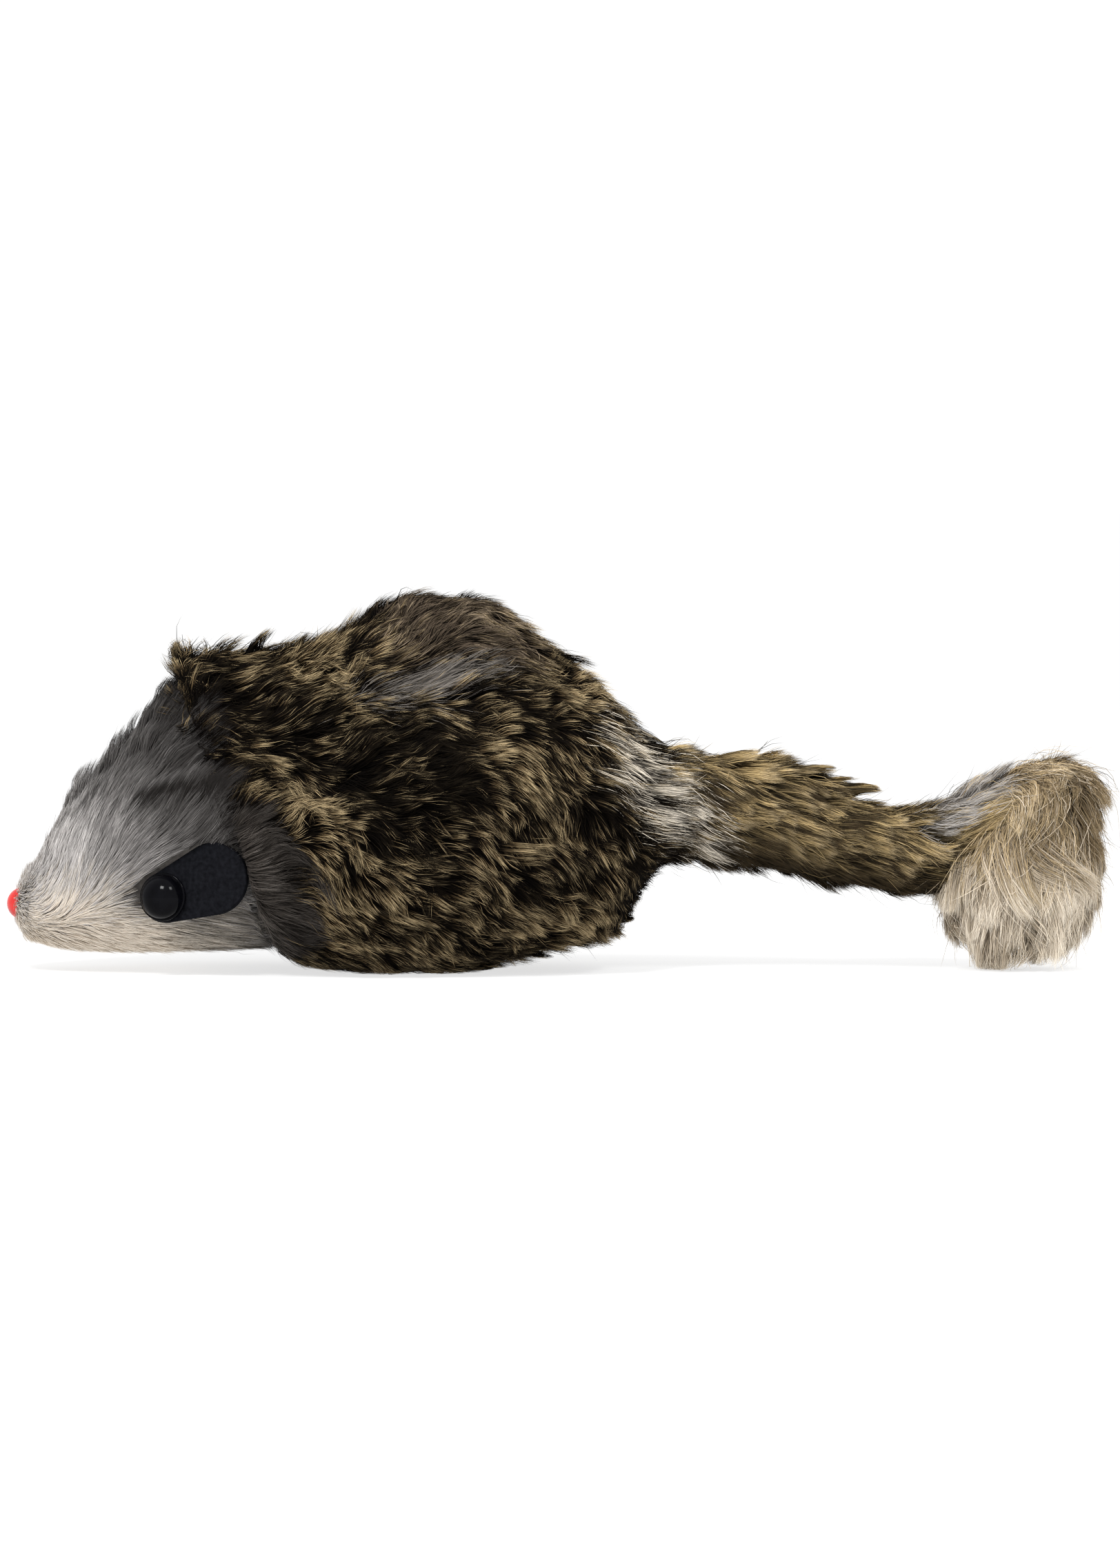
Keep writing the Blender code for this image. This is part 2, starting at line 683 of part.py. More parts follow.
def make_face(side, word, head_form):
    """One eye with its ear. Returns the cutters that seat them."""
    frame = face_frame(side, head_form)
    sheet_middle = Matrix.Translation((0, 0, EAR_THICKNESS / 2))
    tip, lobe = teardrop()
    fold = FIT_GAP / 2
    low_front, high_front = crease_points(tip, lobe, EAR_CREASE - fold)
    low_back, high_back = crease_points(tip, lobe, EAR_CREASE + fold)
    hole = arc(0.0, EYE_STEM_RADIUS + FIT_GAP, FULL_TURN, 0.0, ROUND_STEPS // 2)[:-1]
    tab = flat_piece(f"ear_{word}_tab", [tip + [low_front, high_front], hole], EAR_THICKNESS, toy, black_foam)
    tab.matrix_world = frame @ sheet_middle
    flap = flat_piece(f"ear_{word}_flap", [[low_back] + lobe + [high_back]], EAR_THICKNESS, toy, black_foam)
    flap.matrix_world = frame @ sheet_middle
    crease = frame @ Vector((EAR_CREASE, 0, EAR_THICKNESS))
    carry(hinge(f"ear_{word}_crease", crease, frame.to_3x3().to_4x4()), flap)
    eye = turned(f"eye_{word}", eye_profile(), toy, black_gloss)
    eye.matrix_world = frame @ Matrix.Translation((0, 0, EAR_THICKNESS + FIT_GAP))
    tip, lobe = teardrop(grow=FIT_GAP)
    depth = CUT_OVERRUN + FIT_GAP
    pocket = flat_piece(f"ear {word} pocket", [tip + lobe], depth, cutters)
    pocket.matrix_world = frame @ Matrix.Translation((0, 0, depth / 2 - FIT_GAP))
    pocket = as_mesh(pocket, cutters)
    stem_end = Vector((0, 0, -EYE_STEM_LENGTH - CUT_OVERRUN / 4))
    stem_hole = cylinder(
        f"eye {word} stem hole",
        frame @ stem_end,
        frame @ Vector((0, 0, CUT_OVERRUN)),
        EYE_STEM_RADIUS + FIT_GAP,
        cutters,
    )
    return pocket, stem_hole


def make_plug(tail_seat):
    """The plug that holds the tail: a flange against the inside of the shell and a stem out of its rear hole."""
    start = Vector((SHELL_REAR_REACH - SHELL_WALL - PLUG_FLANGE_THICKNESS * 2, 0, TAIL_HEIGHT))
    behind = Vector((SHELL_REAR_REACH + CUT_OVERRUN, 0, TAIL_HEIGHT))
    plug = cylinder("tail_plug", start, behind, PLUG_FLANGE_RADIUS, toy, plug_plastic)
    boolean(plug, shell_form("plug flange back", cutters, grow=-SHELL_WALL - FIT_GAP), "INTERSECT")
    middle = start + Vector((PLUG_FLANGE_THICKNESS / 2, 0, 0))
    boolean(plug, cylinder("plug stem", middle, tail_seat, PLUG_STEM_RADIUS, cutters), "UNION")
    return plug


def make_tail(rump_x):
    """The tail's lengths, each with a ball on its joint, and the tuft. Returns the rump's socket and the joints."""
    root_joint = Vector((rump_x + TAIL_ROOT_RADIUS - TAIL_ROOT_BITE, 0, TAIL_HEIGHT))
    mid_joint = root_joint + Vector((TAIL_ROOT_LENGTH, 0, -TAIL_ROOT_DROP))
    end_joint = mid_joint + Vector((TAIL_MID_LENGTH, 0, -TAIL_MID_DROP))
    tip = end_joint + Vector((TAIL_END_LENGTH, 0, TAIL_END_RISE))
    lean = math.tan(TAIL_BEND)
    root_radii = (TAIL_ROOT_RADIUS, TAIL_ROOT_RADIUS, TAIL_ROOT_HALF_HEIGHT)
    mid_radii = (TAIL_MID_RADIUS, TAIL_MID_HALF_WIDTH, TAIL_MID_RADIUS)
    end_radii = (TAIL_END_RADIUS, TAIL_END_RADIUS, TAIL_END_HALF_HEIGHT)
    root_end = mid_joint - Vector((TAIL_MID_RADIUS * lean, 0, 0))
    mid_end = end_joint - Vector((TAIL_END_RADIUS * lean, 0, 0))
    root_size = (TAIL_ROOT_HALF_HEIGHT, TAIL_ROOT_RADIUS)
    mid_size = (TAIL_MID_RADIUS, TAIL_MID_HALF_WIDTH)
    end_size = (TAIL_END_HALF_HEIGHT, TAIL_END_RADIUS)
    lengths = (
        ("tail_root_fur", root_joint, root_radii, strip_rings(root_joint, root_end, root_size, mid_size)),
        ("tail_mid_fur", mid_joint, mid_radii, strip_rings(mid_joint, mid_end, mid_size, end_size)),
        ("tail_end_fur", end_joint, end_radii, turn_rings(end_joint, tip)),
    )
    made = []
    sockets = []
    axle = None
    for name, joint, radii, rings in lengths:
        length = soft_form(name, rings, toy, tail_pile, levels=1, sag=0.0)
        boolean(length, ball(name + " ball", joint, radii, cutters), "UNION")
        sockets.append(ball(name + " socket", joint, radii, cutters, grow=FIT_GAP))
        made.append(length)
        axle = hinge(name + "_joint", joint, parent=axle)
        carry(axle, length)
    boolean(made[0], sockets[1])
    boolean(made[1], sockets[2])
    tuft_x = tip.x - TUFT_BACKSET - TUFT_LENGTH * TUFT_RING_SHARES[0][3]
    tuft = soft_form("tail_tuft", tuft_rings(tuft_x), toy, tuft_pile, levels=1, sag=0.0)
    carry(axle, tuft)
    seat = soft_form(
        "tuft seat", tuft_rings(tuft_x), cutters, grow=FIT_GAP, levels=1, sag=0.0
    )
    boolean(made[2], seat)
    return sockets[0], (root_joint, mid_joint, end_joint)


def make_toy():
    body_form = long_pile_form("body_fur", toy, long_pile)
    head_form = soft_form("head_fur", head_rings(), toy, short_pile)
    rump = surface_hit(
        body_form, Vector((BODY_REAR_REACH + CUT_OVERRUN, 0, TAIL_HEIGHT)), Vector((-1, 0, 0))
    )
    faces = [make_face(side, word, head_form) for side, word in ((-1, "left"), (1, "right"))]
    tail_socket, joints = make_tail(rump.x)
    halves, plug_hole, nose_hole = make_halves(rump)
    plug = make_plug(joints[0])
    boolean(plug, tail_socket)
    make_beads()
    nose = make_nose()

    shell_seat = shell_form("shell seat", cutters, grow=FIT_GAP)
    wad = soft_form("back_wad", wad_rings(), toy, wad_fibre, sag=0.0, levels=1)
    wad_seat = soft_form("wad seat", wad_rings(), cutters, grow=FIT_GAP, sag=0.0, levels=1)
    boolean(wad, shell_seat)
    nose_seat = ball("nose seat", nose.location, [NOSE_RADIUS] * 3, cutters, grow=FIT_GAP)
    floor_reach = Vector((CUT_OVERRUN + BODY_REAR_REACH, BODY_WIDTH, CUT_OVERRUN))
    floor = block("floor", -floor_reach, Vector((floor_reach.x, floor_reach.y, 0)), cutters)

    boolean(body_form, shell_seat)
    boolean(body_form, wad_seat)
    boolean(body_form, plug_hole)
    boolean(body_form, tail_socket)
    boolean(body_form, floor)
    boolean(head_form, long_pile_form("body seat", cutters, grow=FIT_GAP))
    boolean(head_form, shell_seat)
    boolean(head_form, nose_seat)
    boolean(head_form, nose_hole)
    for pocket, stem_hole in faces:
        boolean(body_form, pocket)
        boolean(head_form, pocket)
        boolean(head_form, stem_hole)
        for half in halves:
            boolean(half, stem_hole)
    return joints


SHARP_ANGLE = math.radians(40)
MERGE_DISTANCE = 0.00001

clear_scene()
toy = new_collection("Mouse toy")
cutters = new_collection("Cutters")
shell_plastic = new_material("shell plastic", SHELL_PLASTIC)
bead_plastic = new_material("bead plastic", BEAD_PLASTIC)
plug_plastic = new_material("plug plastic", PLUG_PLASTIC)
wad_fibre = new_material("wad fibre", WAD_FIBRE)
long_pile = new_material("long pile", LONG_PILE)
short_pile = new_material("short pile", SHORT_PILE)
tail_pile = new_material("tail pile", TAIL_PILE)
tuft_pile = new_material("tuft pile", TUFT_PILE)
black_gloss = new_material("black gloss", BLACK_GLOSS)
black_foam = new_material("black foam", BLACK_FOAM)
red_gloss = new_material("red gloss", RED_GLOSS)
joint_places = make_toy()
for joint_place in joint_places:
    print("joint at", [round(value, 5) for value in joint_place])
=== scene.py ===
"""Looks of the long-pile mouse toy: combed pile on pelts, foam ears, dome eyes, bead nose and tufted tail.

The nose points along -X, the tail along +X and +Z is up. Lengths are in metres.
"""
import math

import bmesh
import bpy
import numpy as np
from mathutils import Matrix, Vector, kdtree
from mathutils.bvhtree import BVHTree


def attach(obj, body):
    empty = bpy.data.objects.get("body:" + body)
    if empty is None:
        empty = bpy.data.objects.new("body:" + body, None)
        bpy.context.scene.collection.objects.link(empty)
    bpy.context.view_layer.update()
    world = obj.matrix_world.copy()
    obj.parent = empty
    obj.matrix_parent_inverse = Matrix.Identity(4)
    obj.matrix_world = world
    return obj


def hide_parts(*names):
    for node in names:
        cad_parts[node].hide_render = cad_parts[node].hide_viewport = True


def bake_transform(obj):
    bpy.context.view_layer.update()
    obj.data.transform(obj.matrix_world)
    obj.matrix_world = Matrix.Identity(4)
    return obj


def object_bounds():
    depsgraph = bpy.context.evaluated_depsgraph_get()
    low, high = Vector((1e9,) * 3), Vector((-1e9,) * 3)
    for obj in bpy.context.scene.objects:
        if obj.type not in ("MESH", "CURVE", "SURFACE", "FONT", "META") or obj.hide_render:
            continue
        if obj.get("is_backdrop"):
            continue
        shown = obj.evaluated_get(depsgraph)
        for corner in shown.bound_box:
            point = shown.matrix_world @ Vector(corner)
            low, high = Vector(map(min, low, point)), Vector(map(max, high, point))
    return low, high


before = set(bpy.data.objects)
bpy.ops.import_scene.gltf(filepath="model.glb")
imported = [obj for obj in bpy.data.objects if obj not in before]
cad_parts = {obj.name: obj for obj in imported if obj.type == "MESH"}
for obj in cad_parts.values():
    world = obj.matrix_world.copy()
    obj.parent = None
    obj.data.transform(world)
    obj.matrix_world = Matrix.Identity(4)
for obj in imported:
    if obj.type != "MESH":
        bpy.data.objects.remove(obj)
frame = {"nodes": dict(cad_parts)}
cad_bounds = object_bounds()

MM = 0.001
TURN = 2 * math.pi
FLOOR_CLEARANCE = 0.15 * MM
# The photograph's view: the middle of its frame, the frame's height and how far the camera looks down.
VIEW_MIDDLE = (27.2 * MM, 0, 31.8 * MM)
VIEW_HEIGHT = 267.5 * MM
VIEW_ELEVATION = math.radians(3)
LENS, SENSOR_HEIGHT = 190, 36
# Studio light, from all sides and from two square lamps. A lamp is (name, place, target, power).
SKY_STRENGTH = 1.05
LAMP_SIZE = 0.15
LAMPS = (
    ("key", (-0.16, -0.46, 0.52), (0.02, 0, 0.03), 4.0),
    ("fill", (0.30, -0.40, 0.50), (0.03, 0, 0.03), 2.0),
)


# Materials


def add_node(nodes, kind, **values):
    node = nodes.new(kind)
    for key, value in values.items():
        node.inputs[key].default_value = value
    return node


def ramp(nodes, stops):
    node = nodes.new("ShaderNodeValToRGB")
    elements = node.color_ramp.elements
    while len(elements) < len(stops):
        elements.new(0.5)
    for element, (place, colour) in zip(elements, stops):
        element.position = place
        element.color = (*colour, 1)
    return node


def new_material(name):
    material = bpy.data.materials.new(name)
    material.use_nodes = True
    nodes, links = material.node_tree.nodes, material.node_tree.links
    return material, nodes, links, nodes["Principled BSDF"]


def give(material, *objects):
    for obj in objects:
        obj.data.materials.clear()
        obj.data.materials.append(material)


def textured(name, dark, light, scale, roughness, bump=0.0, height=0.1 * MM, spread=0.0, gloss=0.5, edge=0.3):
    """A material whose colour, roughness and relief all follow one grain, from dark to light."""
    material, nodes, links, shader = new_material(name)
    place = nodes.new("ShaderNodeTexCoord")
    grain = add_node(nodes, "ShaderNodeTexNoise", Scale=scale, Detail=4.0)
    links.new(place.outputs["Object"], grain.inputs["Vector"])
    tint = ramp(nodes, ((edge, dark), (1 - edge, light)))
    links.new(grain.outputs["Fac"], tint.inputs["Fac"])
    links.new(tint.outputs["Color"], shader.inputs["Base Color"])
    shader.inputs["Roughness"].default_value = roughness
    shader.inputs["Specular IOR Level"].default_value = gloss
    if spread:
        span = nodes.new("ShaderNodeMapRange")
        span.inputs["To Min"].default_value = roughness - spread
        span.inputs["To Max"].default_value = roughness + spread
        links.new(grain.outputs["Fac"], span.inputs["Value"])
        links.new(span.outputs["Result"], shader.inputs["Roughness"])
    if bump:
        relief = add_node(nodes, "ShaderNodeBump", Strength=bump, Distance=height)
        links.new(grain.outputs["Fac"], relief.inputs["Height"])
        links.new(relief.outputs["Normal"], shader.inputs["Normal"])
    return material


def math_node(nodes, links, operation, source, value=0.0):
    node = nodes.new("ShaderNodeMath")
    node.operation = operation
    node.inputs[1].default_value = value
    links.new(source, node.inputs[0])
    return node.outputs[0]


def fur_material(name, coats, roughness=0.75, gloss=0.035):
    """Hair. Across the map it goes from its coat's dark kind to its light kind. The map has a band for each
    coat, and up a band a hair goes from root to tip. A coat is (dark stops, light stops)."""
    material, nodes, links, shader = new_material(name)
    uv = nodes.new("ShaderNodeUVMap")
    uv.uv_map = "OFBake"
    split = nodes.new("ShaderNodeSeparateXYZ")
    links.new(uv.outputs["UV"], split.inputs["Vector"])
    bands = math_node(nodes, links, "MULTIPLY", split.outputs["Y"], len(coats))
    along = math_node(nodes, links, "FRACT", bands)
    colour = None
    for number, (dark_stops, light_stops) in enumerate(coats):
        kinds = nodes.new("ShaderNodeMix")
        kinds.data_type = "RGBA"
        links.new(split.outputs["X"], kinds.inputs[0])
        for stops, socket in ((dark_stops, 6), (light_stops, 7)):
            tint = ramp(nodes, stops)
            links.new(along, tint.inputs["Fac"])
            links.new(tint.outputs["Color"], kinds.inputs[socket])
        if colour is None:
            colour = kinds.outputs[2]
            continue
        chosen = nodes.new("ShaderNodeMix")
        chosen.data_type = "RGBA"
        links.new(math_node(nodes, links, "GREATER_THAN", bands, number), chosen.inputs[0])
        links.new(colour, chosen.inputs[6])
        links.new(kinds.outputs[2], chosen.inputs[7])
        colour = chosen.outputs[2]
    links.new(colour, shader.inputs["Base Color"])
    shader.inputs["Roughness"].default_value = roughness
    shader.inputs["Specular IOR Level"].default_value = gloss
    return material


# Camera, floor and light


def add_object(name, data):
    obj = bpy.data.objects.new(name, data)
    bpy.context.scene.collection.objects.link(obj)
    return obj


def look_at(obj, target):
    obj.rotation_euler = (Vector(target) - obj.location).to_track_quat("-Z", "Y").to_euler()


def add_camera():
    data = bpy.data.cameras.new("camera")
    data.sensor_fit = "VERTICAL"
    data.sensor_height = SENSOR_HEIGHT
    data.lens = LENS
    data.clip_start = 0.01
    data.clip_end = 20
    obj = add_object("camera", data)
    target = Vector(VIEW_MIDDLE)
    distance = VIEW_HEIGHT / 2 / (SENSOR_HEIGHT / 2 / LENS)
    obj.location = target + Vector((0, -math.cos(VIEW_ELEVATION), math.sin(VIEW_ELEVATION))) * distance
    look_at(obj, target)
    bpy.context.scene.camera = obj


def area_light(name, place, target, power):
    data = bpy.data.lights.new(name, "AREA")
    data.shape = "SQUARE"
    data.size = LAMP_SIZE
    data.energy = power
    obj = add_object(name, data)
    obj.location = place
    look_at(obj, target)


def add_studio():
    world = bpy.data.worlds.new("studio")
    world.use_nodes = True
    world.node_tree.nodes["Background"].inputs["Color"].default_value = (1, 1, 1, 1)
    world.node_tree.nodes["Background"].inputs["Strength"].default_value = SKY_STRENGTH
    bpy.context.scene.world = world
    bpy.context.scene.view_settings.view_transform = "Standard"
    for lamp in LAMPS:
        area_light(*lamp)
    shape = bmesh.new()
    bmesh.ops.create_grid(shape, x_segments=2, y_segments=2, size=4.0)
    mesh = bpy.data.meshes.new("floor")
    shape.to_mesh(mesh)
    shape.free()
    floor = add_object("floor", mesh)
    table = textured("light table", (0.295, 0.295, 0.295), (0.305, 0.305, 0.305), 3.0, 0.9, gloss=0.0)
    shader = table.node_tree.nodes["Principled BSDF"]
    shader.inputs["Emission Color"].default_value = (1, 1, 1, 1)
    shader.inputs["Emission Strength"].default_value = 0.70
    give(table, floor)
    floor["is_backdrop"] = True


# Smooth forms


def smooth(x, low, high):
    t = np.clip((x - low) / (high - low), 0, 1)
    return t * t * (3 - 2 * t)


def unit(vectors):
    return vectors / (np.linalg.norm(vectors, axis=-1, keepdims=True) + 1e-12)


def dot(a, b):
    return (a * b).sum(-1, keepdims=True)


def spline_weights(place):
    """For places counted along evenly spaced points of a smooth line: the first of the four points that each
    follows, their weights, and the weights of its slope."""
    first = np.floor(place).astype(int)
    t = place - first
    second, third = 3 * t**3 - 6 * t**2 + 4, -3 * t**3 + 3 * t**2 + 3 * t + 1
    weights = np.stack([(1 - t) ** 3, second, third, t**3], -1) / 6
    slopes = np.stack([-((1 - t) ** 2), 3 * t**2 - 4 * t, -3 * t**2 + 2 * t + 1, t**2], -1) / 2
    return first, weights, slopes


class Form:
    """A closed form that swells and tapers: the smooth surface of a cage of rings, with its ends closed.

    A ring is (centre, half vector to its top, half width). A place on the form is s, counted along its rings,
    and a, the angle about them, with a quarter turn at the top.
    """

    def __init__(self, rings, points=8, sag=0.0, relief=None):
        first, last = rings[0], rings[-1]
        front = [(first[0], first[1] * share, first[2] * share) for share in (-0.6, 0.0, 0.6)]
        back = [(last[0], last[1] * share, last[2] * share) for share in (0.6, 0.0, -0.6)]
        rings = front + list(rings) + back
        centre = np.array([ring[0][:] for ring in rings])[:, None]
        up = np.array([ring[1][:] for ring in rings])[:, None]
        width = np.array([ring[2] for ring in rings])[:, None]
        angle = TURN * np.arange(points) / points
        reach = up * (np.sin(angle) - sag * np.cos(angle) ** 2)[:, None]
        reach[..., 1] += width * np.cos(angle)
        reach *= 3 / (2 + math.cos(TURN / points))
        if relief is not None:
            reach += unit(reach) * relief(centre + reach)[..., None]
        self.cage = centre + reach
        self.points = points
        self.last = len(rings) - 3

    def at(self, s, a):
        """Places, outward normals, and the slopes along the rings and around them."""
        first_row, row_weights, row_slopes = spline_weights(np.clip(s, 0.02, self.last - 0.02))
        first_point, point_weights, point_slopes = spline_weights(a / TURN * self.points)
        rows = first_row[:, None] + np.arange(4)
        points = (first_point[:, None] - 1 + np.arange(4)) % self.points
        near = self.cage[rows[:, :, None], points[:, None, :]]
        across = np.einsum("nr,nrpk->npk", row_weights, near)
        place = np.einsum("np,npk->nk", point_weights, across)
        around = np.einsum("np,npk->nk", point_slopes, across) * (self.points / TURN)
        along = np.einsum("nr,np,nrpk->nk", row_slopes, point_weights, near, optimize=True)
        return place, unit(np.cross(around, along)), along, around

    def scatter(self, count, rng, density=None, low=0.0, high=None):
        """Random places on it, spread evenly or by density(place, normal)."""
        high = self.last if high is None else high
        rows, columns = 200, 96
        along_it = low + (high - low) * (np.arange(rows) + 0.5) / rows
        about_it = TURN * (np.arange(columns) + 0.5) / columns
        s, a = (grid.ravel() for grid in np.meshgrid(along_it, about_it, indexing="ij"))
        place, normal, along, around = self.at(s, a)
        weight = np.linalg.norm(np.cross(along, around), axis=-1)
        if density is not None:
            weight = weight * density(place, normal)
        chosen = rng.choice(len(s), count, p=weight / weight.sum())
        s = s[chosen] + (rng.random(count) - 0.5) * (high - low) / rows
        return s, a[chosen] + (rng.random(count) - 0.5) * TURN / columns

    def walk(self, s, a, comb, length, steps):
        """Walks over it from each place, the way that comb(place, normal) points. Returns the places and
        normals passed, hair by hair. Past its ends a walk goes straight on."""
        s, a = s.copy(), a.copy()
        place, normal, along, around = self.at(s, a)
        places, normals = [place], [normal]
        gone = np.zeros(len(s), bool)
        heading = np.zeros_like(place)
        step = length / steps
        for _ in range(steps):
            aim = comb(place, normal)
            laid = unit(aim - normal * dot(aim, normal))
            heading = np.where(gone[:, None], heading, laid)
            aa, ab, bb = (along * along).sum(-1), (along * around).sum(-1), (around * around).sum(-1)
            pa, pb = (laid * along).sum(-1), (laid * around).sum(-1)
            det = aa * bb - ab * ab + 1e-16
            ds = np.clip((bb * pa - ab * pb) / det * step, -0.8, 0.8)
            da = np.clip((aa * pb - ab * pa) / det * step, -0.7, 0.7)
            gone |= (s + ds < 0.05) | (s + ds > self.last - 0.05)
            s, a = np.where(gone, s, s + ds), np.where(gone, a, a + da)
            reached, facing, along, around = self.at(s, a)
            place = np.where(gone[:, None], places[-1] + heading * step[:, None], reached)
            normal = np.where(gone[:, None], normal, facing)
            places.append(place)
            normals.append(normal)
        return np.stack(places, 1), np.stack(normals, 1)


def lengthwise(shares, front, rear, base, height, width, middle=0.0):
    """Rings along X. A row is x of the top, x of the bottom, low, high and half width, as shares."""
    rings = []
    for top_x, bottom_x, low, high, half in shares:
        top = Vector((middle + top_x * (front if top_x < 0 else rear), 0, base + high * height))
        bottom = Vector((middle + bottom_x * (front if bottom_x < 0 else rear), 0, base + low * height))
        rings.append(((top + bottom) / 2, (top - bottom) / 2, half * width / 2))
    return rings


class Drift:
    """Smooth wandering over space, of about one either way, from a few waves of one size."""

    def __init__(self, size, rng, waves=8):
        ways = unit(rng.normal(size=(waves, 3)))
        self.waves = ways * (rng.uniform(0.6, 1.5, size=(waves, 1)) * TURN / size / 2)
        self.phases = rng.random(waves) * TURN

    def __call__(self, places):
        return np.sin(places @ self.waves.T + self.phases).sum(-1) * math.sqrt(2 / len(self.phases)) * 0.7


def turned_about(vectors, normal, angle):
    """Vectors turned about the pelt's normal."""
    angle = np.asarray(angle)[..., None]
    return vectors * np.cos(angle) + np.cross(normal, vectors) * np.sin(angle)


# Hair


class Pile:
    """Hairs on one pelt: their points, and for each the pelt's normal, width, coat and how light it is."""

    def __init__(self, points, normal, width, shade, coat):
        self.points = points
        self.normal = normal
        count = len(points)
        self.width = np.broadcast_to(np.asarray(width, float), (count,)).copy()
        self.shade = np.broadcast_to(np.asarray(shade, float), (count,)).copy()
        self.coat = np.broadcast_to(np.asarray(coat, int), (count,)).copy()

    def only(self, keep):
        return Pile(self.points[keep], self.normal[keep], self.width[keep], self.shade[keep], self.coat[keep])

    def along(self):
        return np.linspace(0, 1, self.points.shape[1])


def owners(roots, spacing, rng):
    """Chooses hairs about a spacing apart to lead clumps. Returns the number of each hair's leader."""
    cells = np.unique(np.floor(roots / spacing).astype(np.int64), axis=0)
    leaders = rng.permutation(len(roots))[: max(3, int(len(cells) * 0.7))]
    tree = kdtree.KDTree(len(leaders))
    for number, leader in enumerate(leaders):
        tree.insert(roots[leader], number)
    tree.balance()
    return leaders[[tree.find(root)[1] for root in roots.tolist()]]


def clump(pile, owner, strength, tightness, start=0.1, full=0.9):
    """Draws hairs to their clump's leader, more so towards their tips."""
    points = pile.points
    leader = points[owner]
    aim = leader + (points[:, :1] - leader[:, :1]) * tightness
    strength = np.broadcast_to(strength, (len(points),))[:, None, None]
    pile.points = points + (aim - points) * (smooth(pile.along(), start, full)[None, :, None] * strength)


def frizz(pile, amount, rng):
    """Gives each hair a bend of its own, which grows towards its tip."""
    t = pile.along()[None, :, None]
    count = len(pile.points)
    amount = np.broadcast_to(amount, (count,))[:, None, None]
    swing = rng.normal(size=(count, 1, 3)) * t**1.6
    wave = rng.normal(size=(count, 1, 3)) * np.sin(t * math.pi) * 0.6
    pile.points = pile.points + (swing + wave) * amount


def curl(pile, owner, amount, rng):
    """Bends each clump as one, to a side of its own, more so towards its tips."""
    t = pile.along()[None, :, None]
    bend = rng.normal(size=(len(pile.points), 3))
    pile.points = pile.points + bend[owner][:, None] * t**2 * amount * 0.6


def draw_out(pile, base, tip, radius, strength=0.9):
    """Draws the hairs rooted near a base together into one point, as stray locks are. All in millimetres."""
    base, tip = np.array(base) * MM, np.array(tip) * MM
    near = np.linalg.norm(pile.points[:, 0] - base, axis=-1)
    take = np.where(near < radius * MM)[0]
    t = pile.along()[None, :, None]
    roots = pile.points[take, :1]
    path = roots + (tip - roots) * t
    bow = pile.normal[take][:, None] * (np.sin(t * math.pi) * 0.12 * np.linalg.norm(tip - base))
    strength = strength * (1 - 0.3 * near[take] / (radius * MM))
    pull = np.minimum(1, t * 2.2) * strength[:, None, None]
    pile.points[take] = pile.points[take] + (path + bow - pile.points[take]) * pull


def lying(form, s, a, comb, length, depth, lift, steps, arch=1.7):
    """Hairs that rise from the pelt, at a depth under the form, and lie over to end a lift above it."""
    places, normals = form.walk(s, a, comb, length, steps)
    t = np.linspace(0, 1, steps + 1)
    height = -depth[:, None] + (depth + lift)[:, None] * (1 - (1 - t) ** arch)
    return places + normals * height[..., None], unit(normals.mean(1))


